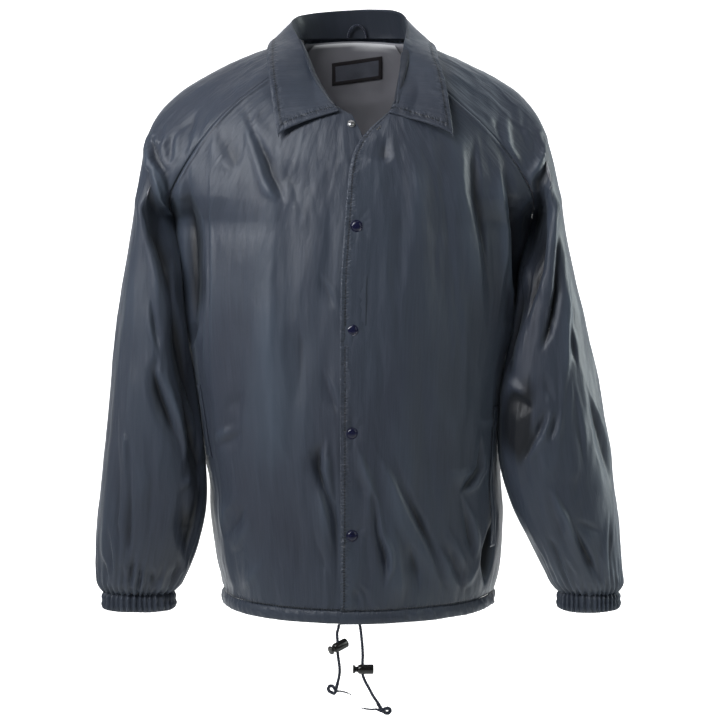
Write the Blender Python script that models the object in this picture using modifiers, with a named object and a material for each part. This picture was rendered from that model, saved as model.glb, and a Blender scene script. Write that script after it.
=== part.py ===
"""Coach jacket, filled out with no wearer: cloth walls, snaps, drawcords and cord locks.

Units are millimetres in the tables and metres in the scene. The front faces -Y, +Z is up, and
the wearer's right side is at -X. The origin is the point between the shoulders, level with the
neck seam at the side of the neck, where the wearer's shoulders carry the jacket.
"""

import math
from bisect import bisect_right

import bmesh
import bpy
from mathutils import Matrix, Vector
from mathutils.bvhtree import BVHTree

MM = 0.001

# Walls and clearances
WALL = 1.2
COLLAR_WALL = 1.3
COLLAR_CLEAR = 2.6
SEAM_GAP = 0.3
SURFACE_GAP = 0.4
OVERLAP_LIFT = 1.9
OVERLAP_TUCK = 1.6
OVERLAP_WIDTH = 40.0
OVERLAP_FADE = 70.0

# Heights
HEM_BOTTOM = -733.0
HEM_TOP = -717.0
UNDERARM = -222.0
CUFF_TOP = -718.0
CUFF_BOTTOM = -741.0

# How finely each wall is divided
BODY_ROWS = 12
HEAD_ROWS = 7
FRONT_COLUMNS = 18
BACK_COLUMNS = 24
SLEEVE_COLUMNS = 24
ARM_ROWS = 11
COLLAR_COLUMNS = 30
UNDERARM_LEVEL = 0.72
ARM_END = 0.9996

# Gathers and hardware
CUFF_GATHERS = 20
HEM_GATHERS_FRONT = 10
HEM_GATHERS_BACK = 16
STEPS_PER_GATHER = 4
SNAP_SPACING = 130.0
TOP_VISIBLE_SNAP = -229.0
VISIBLE_SNAPS = 4
SNAP_FROM_EDGE = 15.0
CORD_DIAMETER = 4.0

RIGHT, LEFT = "right", "left"

# How far up the panels run: level, height at the front edge, height at the seam
LEVELS = (
    (0.00, -717, -717),
    (0.18, -593, -593),
    (0.36, -469, -469),
    (0.54, -346, -346),
    (0.63, -284, -284),
    (0.72, -224, -222),
    (0.80, -188, -176),
    (0.88, -148, -118),
    (0.94, -116, -66),
    (1.00, -89, -12),
)

# Front edges: height, left front's edge, right front's edge, depth of the chest there
FRONT_EDGE = (
    (-733, -25, 7, -149),
    (-717, -25, 7, -152),
    (-660, -25, 7, -155),
    (-560, -25, 7, -154),
    (-450, -25, 7, -152),
    (-360, -25, 8, -149),
    (-300, -24, 9, -146),
    (-250, -21, 12, -142),
    (-196, -17, 14, -135),
    (-162, -14, 13, -128),
    (-135, -7, 9, -120),
    (-113, 8, 2, -112),
    (-89, 36, -10, -101),
)

# Side seams, then the front raglan seams: height, right x, left x, y, turn, reach
FRONT_SEAM = (
    (-733, -177, 169, 3, 90, 88),
    (-717, -181, 176, 3, 90, 90),
    (-690, -187, 184, 3, 90, 92),
    (-655, -192, 188, 3, 90, 94),
    (-610, -197, 189, 3, 90, 94),
    (-570, -199, 185, 3, 90, 94),
    (-530, -208, 184, 3, 90, 93),
    (-460, -217, 186, 3, 90, 93),
    (-410, -226, 194, 3, 90, 92),
    (-360, -233, 204, 3, 90, 92),
    (-300, -240, 215, 3, 90, 90),
    (-250, -244, 222, 3, 90, 88),
    (-222, -247, 226, 3, 88, 84),
    (-207, -247, 225, -30, 78, 64),
    (-190, -243, 221, -60, 60, 54),
    (-148, -220, 196, -74, 38, 56),
    (-105, -190, 160, -78, 30, 52),
    (-72, -157, 124, -74, 28, 42),
    (-43, -118, 93, -63, 28, 30),
    (-12, -78, 70, -40, 28, 18),
)

# Back raglan seams, used above the underarm: level, height, right x, left x, y, turn, reach
BACK_SEAM = (
    (0.72, -222, -247, 226, 3, 90, 80),
    (0.76, -204, -247, 225, 38, 76, 62),
    (0.80, -180, -240, 218, 68, 56, 56),
    (0.85, -140, -220, 197, 90, 38, 58),
    (0.90, -98, -190, 164, 101, 28, 56),
    (0.94, -60, -155, 128, 100, 24, 46),
    (0.97, -27, -115, 90, 85, 24, 32),
    (1.00, 4, -74, 60, 62, 24, 18),
)

# Centre of the back: level, height, x, y
BACK_CENTRE = (
    (0.00, -717, 0, 131),
    (0.20, -580, 0, 130),
    (0.40, -442, 0, 127),
    (0.55, -339, 0, 126),
    (0.65, -270, 0, 127),
    (0.72, -222, 0, 128),
    (0.80, -165, 0, 128),
    (0.88, -100, -1, 122),
    (0.94, -45, -3, 107),
    (1.00, 8, -5, 80),
)

# Top line of each sleeve, from the neck to the underarm: share, x, height
RIDGE = {
    RIGHT: (
        (0.00, -86, 3), (0.12, -114, -2), (0.24, -145, -11), (0.36, -180, -29),
        (0.48, -212, -45), (0.60, -243, -65), (0.70, -268, -87), (0.78, -281, -106),
        (0.86, -285, -138), (0.93, -286, -170), (1.00, -293, -203),
    ),
    LEFT: (
        (0.00, 70, 5), (0.12, 99, -5), (0.24, 127, -18), (0.36, 156, -31),
        (0.48, 184, -45), (0.60, 208, -60), (0.70, 228, -79), (0.78, 240, -100),
        (0.86, 253, -128), (0.93, 257, -160), (1.00, 261, -200),
    ),
}

# Sleeve head: share, outward, sideways and up parts of the arch at the seam, its reach there,
# its reach at the top line
HEAD = (
    (0.00, 0.05, 0.70, 0.70, 17, 20),
    (0.15, 0.12, 0.72, 0.66, 28, 32),
    (0.30, 0.40, 0.75, 0.50, 36, 38),
    (0.45, 0.75, 0.60, 0.20, 40, 45),
    (0.60, 0.97, 0.20, 0.00, 42, 50),
    (0.75, 0.95, -0.30, 0.00, 50, 66),
    (0.88, 0.60, -0.78, 0.00, 78, 88),
    (0.95, 0.30, -0.95, 0.00, 90, 98),
    (1.00, 0.00, -1.00, 0.00, 100, 106),
)
RIDGE_Y = 8.0

# Arm of each sleeve: height, right outer x, right inner x, left outer x, left inner x,
# front y, back y, rise of the outer side
ARM = (
    (-222, -293, -247, 261, 226, -72, 82, 19),
    (-250, -300, -245.5, 268, 225, -75, 82, 12),
    (-275, -304, -241, 274, 219.5, -78, 81, 7),
    (-300, -309, -234, 281, 211, -80, 80, 4),
    (-350, -317, -227, 293, 200, -84, 76, 0),
    (-411, -325, -219, 308, 188.5, -88, 70, 0),
    (-464, -330, -210, 318, 181, -90, 62, 0),
    (-535, -337, -202, 328, 181, -90, 54, 0),
    (-597, -344, -201, 338, 198, -86, 46, 0),
    (-650, -349, -212, 344, 224, -79, 38, 0),
    (-685, -350, -225, 346, 242, -69, 30, 0),
    (-705, -347, -237, 347, 254, -58, 22, 0),
    (-718, -340, -247, 342, 264, -48, 14, 0),
)
INNER_Y = -40.0
INNER_SLANT = 0.30

# Cuffs: centre x, half width; both share the centre y and half depth
CUFF = {RIGHT: (-293.5, 46.0), LEFT: (303.0, 38.6)}
CUFF_CENTRE_Y = -17.0
CUFF_HALF_DEPTH = 29.0

# Creases of the fronts, seen from the front: x1, z1, x2, z2, depth, width
FRONT_CREASES = {
    RIGHT: (
        (-150, -72, -118, -150, 8, 16),
        (-118, -150, -92, -235, 6, 20),
        (-180, -108, -140, -190, 7, 16),
        (-100, -135, -80, -200, 5, 14),
        (-214, -190, -207, -340, 7, 17),
        (-190, -420, -150, -640, 7, 22),
        (-95, -400, -75, -690, 6, 22),
        (-150, -560, -120, -700, 6, 17),
    ),
    LEFT: (
        (140, -115, 158, -285, 8, 17),
        (188, -150, 192, -290, 9, 15),
        (95, -120, 110, -310, 6, 20),
        (40, -560, 60, -640, 6, 16),
        (60, -640, 62, -700, 6, 15),
        (85, -440, 105, -640, 7, 20),
        (160, -330, 120, -450, 7, 18),
        (140, -560, 150, -700, 6, 17),
    ),
}

# Creases of the back, seen from the front as x, z
BACK_CREASES = (
    (-180, -150, -120, -270, 8, 18),
    (165, -150, 110, -265, 8, 17),
    (-60, -70, 10, -125, 5, 18),
    (-205, -250, -150, -430, 7, 20),
    (190, -260, 150, -410, 7, 20),
    (-90, -430, -70, -690, 7, 22),
    (20, -360, 35, -680, 6, 22),
    (110, -450, 120, -690, 7, 20),
)

# Creases of the sleeves: share round, height, share round, height, depth, width
SLEEVE_CREASES = {
    RIGHT: (
        (0.45, -52, 0.12, -196, 9, 13),
        (0.12, -196, 0.26, -420, 8, 17),
        (0.56, -60, 0.86, -196, 7, 15),
        (0.10, -380, 0.22, -560, 9, 17),
        (0.36, -260, 0.40, -520, 7, 17),
        (0.30, -560, 0.22, -690, 8, 15),
        (0.62, -240, 0.70, -440, 8, 18),
        (0.80, -350, 0.74, -560, 8, 17),
        (0.60, -520, 0.66, -690, 8, 16),
        (0.44, -590, 0.42, -695, 7, 14),
    ),
    LEFT: (
        (0.40, -70, 0.13, -196, 8, 14),
        (0.13, -196, 0.24, -400, 8, 16),
        (0.58, -60, 0.87, -196, 7, 15),
        (0.34, -220, 0.28, -400, 8, 16),
        (0.12, -420, 0.24, -600, 9, 17),
        (0.36, -450, 0.38, -640, 7, 16),
        (0.26, -610, 0.20, -695, 8, 15),
        (0.64, -260, 0.72, -470, 8, 18),
        (0.82, -400, 0.76, -600, 8, 17),
        (0.62, -560, 0.60, -695, 8, 15),
    ),
}
SLEEVE_ROUND = 440.0

# Collar: share along it, then the neck seam, the fold and the leaf's edge as x, y, z each
COLLAR = (
    (0.00, -27, -104, -84, -28, -106, -84, -104, -118, -118),
    (0.08, -42, -92, -68, -40, -92, -72, -110, -101, -84),
    (0.17, -59, -72, -42, -57, -66, -42, -116, -80, -47),
    (0.26, -72, -41, -9, -74, -35, -3, -120, -44, -15),
    (0.35, -80.5, 6, 8.5, -90, 5, 27, -118, 10, 4),
    (0.43, -67, 57, 9.5, -76, 50, 41, -100, 78, 1),
    (0.50, -8, 78, 11, -17, 70, 48, -16, 98, -2),
    (0.57, 50, 60, 10, 44, 52, 47, 68, 80, 0),
    (0.65, 66, 8, 9, 62, 10, 31, 96, 12, 2),
    (0.74, 64, -40, -11, 57, -38, -3, 101, -46, -18),
    (0.83, 56, -72, -42, 51, -66, -42, 109, -80, -50),
    (0.92, 47, -92, -70, 45, -92, -73, 114, -101, -84),
    (1.00, 37, -104, -87, 37, -106, -87, 118, -118, -118),
)

# Inside the neck
LINING_MARGIN = 3
LINING_DROP = 1.9
LINING_WALL = 0.8
LABEL_SIZE = (68.0, 30.0)
LABEL_CENTRE = (-4.0, -31.0)
LABEL_TURN = 8.0
LABEL_CLEAR = 0.7
LABEL_WALL = 0.5
LOOP_WIDTH = 24.0
LOOP_HEIGHT = 17.0
LOOP_X = -4.0
LOOP_Y = 73.5
LOOP_Z = 11.5
LOOP_LEAN = 0.27
LOOP_RADIUS = 1.3
LOOP_STEPS = 12

# Pocket welts: height of the top and bottom, share across the front at each
POCKET = {
    RIGHT: (-438.0, -533.0, 0.82, 0.81),
    LEFT: (-466.0, -650.0, 0.815, 0.785),
}
WELT_WIDTH = 16.0
WELT_WALL = 1.2
WELT_CLEAR = 0.9
PANEL_ROUND = 330.0

# Drawcords: points of each route from the hem, x and height, in the plane of its cord
CORD_PLANE = {1: -151.3, 2: -148.0}
CORD_ROUTE = {
    1: (
        (-26.6, -733.5), (-27.6, -739), (-29.0, -744.5), (-28.9, -750), (-28.4, -756),
        (-28.3, -762.6), (-28.3, -770), (-27.4, -778), (-26.2, -787), (-25.9, -795),
        (-27.2, -804), (-29.6, -813),
    ),
    2: (
        (-0.4, -733.5), (0.8, -741), (1.9, -751), (3.0, -763), (3.5, -774),
        (3.2, -783), (3.2, -792.3), (3.6, -800), (6.6, -808), (11.5, -817),
        (17.0, -827.5), (25.2, -839.4),
    ),
}
CORD_STEPS = 25

# Cord locks: route point that it sits on, way from the barrel to the button
LOCK = {
    1: (5, (-0.77, -0.57, -0.28)),
    2: (6, (-1.0, 0.0, 0.0)),
}
LOCK_OFFSET = 4.2
BARREL_RADIUS = 6.2
BARREL_LENGTH = 20.0
BARREL_FLOOR = 2.0
BORE_RADIUS = 4.3
STEM_RADIUS = 3.95
STEM_REACH = 14.0
HEAD_RADIUS = 5.7
HEAD_THICKNESS = 3.0
PRESS_TRAVEL = 2.5
HEAD_CLEAR = 3.6
SLOT_MARGIN = 0.3
HOLE_RADIUS = 2.5

# Knots at the cord ends: middle of the ring in x and height, tail points
KNOT = {
    1: ((-33.6, -817.6), ((-29, -819.6), (-24, -820.0), (-19.8, -820.6), (-15, -822.7))),
    2: ((30.0, -843.5), ((24.5, -843.0), (19, -843.6), (12, -843.8), (5, -843.0))),
}
KNOT_RADIUS = 3.6
KNOT_SIDES = 6
KNOT_TUBE = 2.1
TAIL_RADIUS = 1.1

# Colours: red, green, blue, roughness, metallic
FINISHES = {
    "shell": (0.040, 0.052, 0.068, 0.42, 0.0),
    "lining": (0.62, 0.60, 0.66, 0.80, 0.0),
    "snap_navy": (0.020, 0.024, 0.060, 0.18, 0.0),
    "snap_steel": (0.70, 0.70, 0.72, 0.25, 1.0),
    "cord": (0.020, 0.028, 0.055, 0.75, 0.0),
    "lock": (0.012, 0.012, 0.014, 0.15, 0.0),
    "label": (0.045, 0.035, 0.035, 0.70, 0.0),
}


def clear_scene():
    for item in list(bpy.data.objects):
        bpy.data.objects.remove(item, do_unlink=True)


def new_collection(name):
    collection = bpy.data.collections.new(name)
    bpy.context.scene.collection.children.link(collection)
    return collection


def finish_of(name):
    material = bpy.data.materials.get(name)
    if material:
        return material
    red, green, blue, roughness, metallic = FINISHES[name]
    material = bpy.data.materials.new(name)
    material.use_nodes = True
    shader = material.node_tree.nodes["Principled BSDF"]
    shader.inputs["Base Color"].default_value = (red, green, blue, 1.0)
    shader.inputs["Roughness"].default_value = roughness
    shader.inputs["Metallic"].default_value = metallic
    return material


# Reading tables and shaping curves


def slope_at(rows, index, column):
    """Slope of a table's column at a row, from its neighbours."""
    below, above = max(index - 1, 0), min(index + 1, len(rows) - 1)
    return (rows[above][column] - rows[below][column]) / (rows[above][0] - rows[below][0])


def read(rows, at):
    """Smooth values of a table's later columns where its first column is at."""
    keys = [row[0] for row in rows]
    at = min(max(at, keys[0]), keys[-1])
    index = min(bisect_right(keys, at) - 1, len(rows) - 2)
    span = keys[index + 1] - keys[index]
    t = (at - keys[index]) / span
    values = []
    for column in range(1, len(rows[0])):
        start, end = rows[index][column], rows[index + 1][column]
        leave = slope_at(rows, index, column) * span
        arrive = slope_at(rows, index + 1, column) * span
        values.append(
            start * (1 + 2 * t) * (1 - t) ** 2
            + leave * t * (1 - t) ** 2
            + end * t * t * (3 - 2 * t)
            + arrive * t * t * (t - 1)
        )
    return values


def bezier(start, leave, arrive, end, t):
    s = 1 - t
    return start * s**3 + leave * (3 * s * s * t) + arrive * (3 * s * t * t) + end * t**3


def evened(t):
    """Share along a panel's row that spaces its columns evenly over the cloth."""
    return t * (0.76 + 0.24 * t)


def smooth_step(t):
    t = min(max(t, 0.0), 1.0)
    return t * t * (3 - 2 * t)


def to_segment(x, z, x1, z1, x2, z2):
    """Distance from a point to a segment in a plane."""
    along = ((x - x1) * (x2 - x1) + (z - z1) * (z2 - z1)) / ((x2 - x1) ** 2 + (z2 - z1) ** 2)
    along = min(max(along, 0.0), 1.0)
    return math.hypot(x - x1 - along * (x2 - x1), z - z1 - along * (z2 - z1))


def crease_depth(x, z, rows):
    """How far the cloth sinks at a point, over all creases."""
    return sum(
        depth * math.exp(-((to_segment(x, z, x1, z1, x2, z2) / width) ** 2))
        for x1, z1, x2, z2, depth, width in rows
    )


# Surfaces of the panels: each takes a share across and a level, and gives a point


def front_base(side, u, v):
    """A front, from its edge (u 0) to its side or raglan seam (u 1), hem (v 0) to neck (v 1)."""
    z_edge, z_seam = read(LEVELS, v)
    left_edge, right_edge, depth = read(FRONT_EDGE, z_edge)
    right_x, left_x, seam_y, turn, reach = read(FRONT_SEAM, z_seam)
    out = -1 if side == RIGHT else 1
    edge_x = right_edge if side == RIGHT else left_edge
    seam_x = right_x if side == RIGHT else left_x
    start = Vector((edge_x, depth, z_edge))
    end = Vector((seam_x, seam_y, z_seam))
    wide, rise = abs(seam_x - edge_x), z_seam - z_edge
    turn = math.radians(turn)
    leave = start + Vector((out * wide * 0.60, 0, rise * 0.20))
    arrive = end - Vector((out * math.cos(turn), math.sin(turn), 0)) * reach
    arrive.z -= rise * 0.28
    return bezier(start, leave, arrive, end, evened(u))


def back_base(u, v):
    """The back, from the right seam (u 0) to the left seam (u 1), hem (v 0) to neck (v 1)."""
    z_mid, x_mid, y_mid = read(BACK_CENTRE, v)
    if v <= UNDERARM_LEVEL:
        z_seam = read(LEVELS, v)[1]
        right_x, left_x, seam_y, turn, reach = read(FRONT_SEAM, z_seam)
        reach *= 0.88
        turn = 90.0
    else:
        z_seam, right_x, left_x, seam_y, turn, reach = read(BACK_SEAM, v)
    middle = Vector((x_mid, y_mid, z_mid))
    out = -1 if u < 0.5 else 1
    end = Vector((right_x if u < 0.5 else left_x, seam_y, z_seam))
    wide, rise = abs(end.x - x_mid), z_seam - z_mid
    turn = math.radians(turn)
    leave = middle + Vector((out * wide * 0.58, 0, rise * 0.10))
    arrive = end - Vector((out * math.cos(turn), -math.sin(turn), 0)) * reach
    arrive.z -= rise * 0.28
    return bezier(middle, leave, arrive, end, evened(abs(2 * u - 1)))


def sleeve_arc(start, leave, top, reach_front, reach_back, arrive, end, t):
    """One row round a sleeve: front seam, top line at t 0.5, back seam."""
    if t <= 0.5:
        return bezier(start, leave, top + Vector((0, -reach_front, 0)), top, 2 * t)
    return bezier(top, top + Vector((0, reach_back, 0)), arrive, end, 2 * t - 1)


def head_row(side, share):
    """The curve round a sleeve head at a share of the way from the neck to the underarm."""
    level = 1 - share * (1 - UNDERARM_LEVEL)
    out = -1 if side == RIGHT else 1
    z_front = read(LEVELS, level)[1]
    right_x, left_x, y_front, _, _ = read(FRONT_SEAM, z_front)
    z_back, back_right, back_left, y_back, _, _ = read(BACK_SEAM, level)
    start = Vector((right_x if side == RIGHT else left_x, y_front, z_front))
    end = Vector((back_right if side == RIGHT else back_left, y_back, z_back))
    ridge_x, ridge_z = read(RIDGE[side], share)
    top = Vector((ridge_x, RIDGE_Y, ridge_z))
    outward, across, up, reach_seam, reach_top = read(HEAD, share)
    leave = start + Vector((out * outward, across, up)) * reach_seam
    arrive = end + Vector((out * outward, -across, up)) * reach_seam
    if share > 0.99:
        arrive = end + Vector((0, reach_seam * 1.05, 0))
    return start, leave, top, reach_top, reach_top, arrive, end


def arm_row(side, z):
    """The closed curve round the arm at a height of its inner side."""
    out_r, in_r, out_l, in_l, y_front, y_back, rise = read(ARM[::-1], z)
    outer, inner = (out_r, in_r) if side == RIGHT else (out_l, in_l)
    middle = (y_front + y_back) / 2
    settle = smooth_step((UNDERARM - z) / 90)
    near_cuff = smooth_step((-600 - z) / 118)
    inner_y = 3 + (INNER_Y - 3) * settle
    inner_y += (middle - inner_y) * near_cuff
    outer_y = RIDGE_Y + (middle - RIDGE_Y) * settle
    slant = INNER_SLANT * settle * (1 - near_cuff) * (-1 if side == RIGHT else 1)
    start = Vector((inner, inner_y, z))
    top = Vector((outer, outer_y, z + rise))
    front = (inner_y - y_front) * 4 / 3
    back = (y_back - inner_y) * 4 / 3
    leave = start + Vector((0, -front, 0))
    arrive = start + Vector((slant * back, back, 0))
    top_front, top_back = (outer_y - y_front) * 4 / 3, (y_back - outer_y) * 4 / 3
    return start, leave, top, top_front, top_back, arrive, start.copy()


def sleeve_base(side, t, w):
    """A sleeve: t 0 to 1 round it from the front seam, w 0 at the neck, 1 underarm, 2 cuff."""
    if w <= 1:
        return sleeve_arc(*head_row(side, w), t)
    return sleeve_arc(*arm_row(side, UNDERARM + (CUFF_TOP - UNDERARM) * (w - 1)), t)


def normal_of(surface, u, v, towards):
    """Unit normal of a surface by differences, on the side of the towards point function."""
    step = 0.004
    across = surface(min(u + step, 1), v) - surface(max(u - step, 0), v)
    along = surface(u, v + step) - surface(u, v - step)
    normal = across.cross(along).normalized()
    return normal if normal.dot(towards(surface(u, v))) > 0 else -normal


def from_body(point):
    """Way out of the trunk at a point, for choosing the outer side."""
    return Vector((point.x * 0.6, point.y, 0.25 * max(point.z + 160, 0)))


def front_surface(side):
    def surface(u, v):
        return front_base(side, u, v)

    def shaped(u, v):
        point = surface(u, v)
        sink = crease_depth(point.x, point.z, FRONT_CREASES[side])
        sink *= smooth_step((1 - u) / 0.06) * smooth_step(u / 0.18) * smooth_step((1 - v) / 0.05)
        from_edge = abs(point.x - surface(0, v).x)
        if side == LEFT:
            lift = OVERLAP_LIFT * (1 - smooth_step((from_edge - OVERLAP_WIDTH) / OVERLAP_FADE))
        else:
            lift = OVERLAP_TUCK * (smooth_step(from_edge / OVERLAP_WIDTH) - 1)
        return point + normal_of(surface, u, v, from_body) * (lift - sink)

    return shaped


def back_surface(u, v):
    point = back_base(u, v)
    sink = crease_depth(point.x, point.z, BACK_CREASES)
    sink *= smooth_step((0.5 - abs(u - 0.5)) / 0.05) * smooth_step((1 - v) / 0.06)
    return point + normal_of(back_base, u, v, from_body) * -sink


def sleeve_centre(side, w):
    start, _, top, _, _, _, end = (
        head_row(side, w) if w <= 1 else arm_row(side, UNDERARM + (CUFF_TOP - UNDERARM) * (w - 1))
    )
    return (start + end + top * 2) / 4 - Vector((0, 0, 40 * max(1 - w, 0)))


def sleeve_surface(side):
    def surface(t, w):
        return sleeve_base(side, t, w)

    def shaped(t, w):
        point = surface(t, w)
        height = UNDERARM + (CUFF_TOP - UNDERARM) * (w - 1)
        sink = 0.0
        for t1, z1, t2, z2, depth, width in SLEEVE_CREASES[side]:
            away = to_segment(
                t * SLEEVE_ROUND, height, t1 * SLEEVE_ROUND, z1, t2 * SLEEVE_ROUND, z2
            )
            sink += depth * math.exp(-((away / width) ** 2))
        inner = min(t, 1 - t)
        sink *= smooth_step(inner / 0.10) * smooth_step((2 - w) / 0.03)
        centre = sleeve_centre(side, w)
        towards = normal_of(surface, t, w, lambda p: p - centre)
        return point + towards * -sink

    return shaped


# Making objects


def add_object(name, mesh, collection, finish):
    item = bpy.data.objects.new(name, mesh)
    collection.objects.link(item)
    mesh.materials.append(finish_of(finish))
    mesh.shade_smooth()
    mesh.set_sharp_from_angle(angle=math.radians(50))
    return item


def mesh_from(bm, name):
    mesh = bpy.data.meshes.new(name)
    bm.to_mesh(mesh)
    bm.free()
    return mesh


def shell(name, columns, levels, point, thickness, collection, finish, hint):
    """A wall of cloth: a grid laid on point(u, level), thickened inwards."""
    bm = bmesh.new()
    bmesh.ops.create_grid(bm, x_segments=columns, y_segments=len(levels) - 1, size=0.5)
    rows = len(levels) - 1
    for vert in bm.verts:
        u = vert.co.x + 0.5
        level = levels[round((vert.co.y + 0.5) * rows)]
        vert.co = point(u, level) * MM
    bmesh.ops.remove_doubles(bm, verts=bm.verts, dist=0.00002)
    bm.normal_update()
    middle = min(bm.faces, key=lambda face: (face.calc_center_median() - hint[0] * MM).length)
    if middle.normal.dot(hint[1]) < 0:
        bmesh.ops.reverse_faces(bm, faces=bm.faces)
    item = add_object(name, mesh_from(bm, name), collection, finish)
    wall = item.modifiers.new("wall", "SOLIDIFY")
    wall.thickness = thickness * MM
    wall.offset = -1.0
    wall.use_even_offset = False
    return item


def body_levels():
    """Levels of a panel's rows: even up to the underarm, then even to the neck."""
    start = 0.0006
    low = [
        start + (UNDERARM_LEVEL - start) * row / BODY_ROWS for row in range(BODY_ROWS + 1)
    ]
    high = [
        UNDERARM_LEVEL + (1 - UNDERARM_LEVEL) * row / HEAD_ROWS
        for row in range(1, HEAD_ROWS + 1)
    ]
    return low + high


def make_front(side, collection):
    surface = front_surface(side)

    def point(u, v):
        length = (surface(1, v) - surface(0, v)).length
        inset = SEAM_GAP / max(length, 20)
        return surface(u * (1 - inset), v)

    hint = surface(0.3, 0.3), Vector((0, -1, 0))
    return shell(
        f"front_{side}", FRONT_COLUMNS, body_levels(), point, WALL, collection, "shell", hint
    )


def make_back(collection):
    def point(u, v):
        length = (back_base(1, v) - back_base(0, v)).length
        inset = SEAM_GAP / max(length, 20)
        return back_surface(inset + u * (1 - 2 * inset), v)

    hint = back_surface(0.5, 0.3), Vector((0, 1, 0))
    return shell(
        "back_panel", BACK_COLUMNS, body_levels(), point, WALL, collection, "shell", hint
    )


def make_sleeve(side, collection):
    surface = sleeve_surface(side)
    head = [row / HEAD_ROWS for row in range(HEAD_ROWS + 1)]
    arm = [1 + (row / ARM_ROWS) * ARM_END for row in range(1, ARM_ROWS + 1)]

    def point(t, w):
        if w > 0.999:
            return surface(t, w)
        length = 2 * (surface(0.5, w) - surface(0, w)).length
        inset = SEAM_GAP * 2 / length
        return surface(inset + t * (1 - 2 * inset), w)

    out = -1 if side == RIGHT else 1
    hint = surface(0.5, 1.5), Vector((out, 0, 0))
    return shell(
        f"sleeve_{side}", SLEEVE_COLUMNS, head + arm, point, WALL, collection, "shell", hint
    )


def band(name, columns, section, closed, collection, finish):
    """A solid strip: section(u) gives the points of its cross-section at each column."""
    bm = bmesh.new()
    count = len(section(0.0))
    bmesh.ops.create_grid(bm, x_segments=columns, y_segments=count, size=0.5)
    stations = {}
    for vert in bm.verts:
        column = round((vert.co.x + 0.5) * columns)
        corner = round((vert.co.y + 0.5) * count) % count
        if closed:
            column %= columns
        if column not in stations:
            stations[column] = section(column / columns)
        vert.co = stations[column][corner] * MM
    bmesh.ops.remove_doubles(bm, verts=bm.verts, dist=0.00001)
    bmesh.ops.holes_fill(bm, edges=bm.edges, sides=count + 1)
    bmesh.ops.recalc_face_normals(bm, faces=bm.faces)
    return add_object(name, mesh_from(bm, name), collection, finish)


CASING_SECTION = ((HEM_TOP - 0.3, 0.2), (-722, 1.2), (-728, 1.3), (HEM_BOTTOM, 0.0))
CASING_INNER = 2.2


def casing_section(base, normal, gather, full):
    """Cross-section of the hem casing: a puckered outer face over a plain inner one."""
    outer = [
        Vector((base.x, base.y, height)) + normal * (proud * full * (0.8 + 0.7 * gather))
        for height, proud in CASING_SECTION
    ]
    inner = [
        Vector((base.x, base.y, height)) - normal * (WALL + (CASING_INNER - WALL) * full)
        for height in (HEM_BOTTOM, HEM_TOP - 0.3)
    ]
    return outer + inner


def make_hem(collection):
    narrow = 0.0015
    for side in (RIGHT, LEFT):
        def section(u, side=side):
            share = u * (1 - narrow)
            base = front_surface(side)(share, 0.01)
            normal = normal_of(lambda a, b: front_base(side, a, b), share, 0.02, from_body)
            normal = Vector((normal.x, normal.y, 0)).normalized()
            gather = math.cos(2 * math.pi * HEM_GATHERS_FRONT * u)
            from_edge = abs(base.x - front_base(side, 0, 0).x)
            full = smooth_step((from_edge - OVERLAP_WIDTH + 6) / OVERLAP_WIDTH)
            return casing_section(base, normal, gather, full)

        band(
            f"hem_casing_front_{side}", HEM_GATHERS_FRONT * STEPS_PER_GATHER, section, False,
            collection, "shell",
        )

    def back_section(u):
        share = narrow + u * (1 - 2 * narrow)
        base = back_surface(share, 0.01)
        normal = normal_of(back_base, share, 0.02, from_body)
        normal = Vector((normal.x, normal.y, 0)).normalized()
        gather = math.cos(2 * math.pi * HEM_GATHERS_BACK * u)
        return casing_section(base, normal, gather, 1.0)

    band(
        "hem_casing_back", HEM_GATHERS_BACK * STEPS_PER_GATHER, back_section, False,
        collection, "shell",
    )


CUFF_PROFILE = (
    (CUFF_TOP - 0.1, -0.5, 0.5), (-724, 1.2, 1.0), (-735, 1.4, 1.0), (CUFF_BOTTOM, 0.0, 0.9)
)
CUFF_WAVE = 1.7
CUFF_INNER = -2.4


def make_cuff(side, collection):
    """Elastic cuff: gathers stand out from a plain inner face."""
    centre_x, half_width = CUFF[side]
    columns = CUFF_GATHERS * STEPS_PER_GATHER

    def section(u):
        angle = 2 * math.pi * u
        ring = Vector((math.cos(angle) * half_width, math.sin(angle) * CUFF_HALF_DEPTH, 0))
        normal = Vector(
            (math.cos(angle) / half_width, math.sin(angle) / CUFF_HALF_DEPTH, 0)
        ).normalized()
        middle = Vector((centre_x, CUFF_CENTRE_Y, 0)) + ring
        wave = math.cos(2 * math.pi * CUFF_GATHERS * u)
        points = [
            middle + normal * (proud + CUFF_WAVE * share * wave) + Vector((0, 0, height))
            for height, proud, share in CUFF_PROFILE
        ]
        for height in (CUFF_BOTTOM, CUFF_TOP - 0.1):
            points.append(middle + normal * CUFF_INNER + Vector((0, 0, height)))
        return points

    band(f"cuff_{side}", columns, section, True, collection, "shell")


def collar_point(u, v):
    """Collar: u from the right end to the left, v 0 neck seam, 0.4 fold, 1 leaf edge."""
    row = read(COLLAR, u)
    seam, fold, edge = Vector(row[0:3]), Vector(row[3:6]), Vector(row[6:9])
    leaf = edge - fold
    out = Vector((leaf.x, leaf.y, 0)).normalized()
    ends = smooth_step(min(u, 1 - u) / 0.12)
    lift = 1.0 + 3.0 * ends
    top = fold + Vector((0, 0, lift))
    if v <= 0.4:
        t = v / 0.4
        return bezier(seam, seam + Vector((0, 0, 6)) * ends, fold - out * 1.5, top, t)
    t = (v - 0.4) / 0.6
    return bezier(top, top + out * (6 + 4 * ends), edge + Vector((0, 0, 12)), edge, t)


def outer_tree(items):
    """Search tree over the outer faces of cloth walls, before they get their thickness."""
    corners, faces = [], []
    for item in items:
        first = len(corners)
        corners.extend(vert.co.copy() for vert in item.data.vertices)
        faces.extend([first + index for index in face.vertices] for face in item.data.polygons)
    return BVHTree.FromPolygons(corners, faces)


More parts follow.
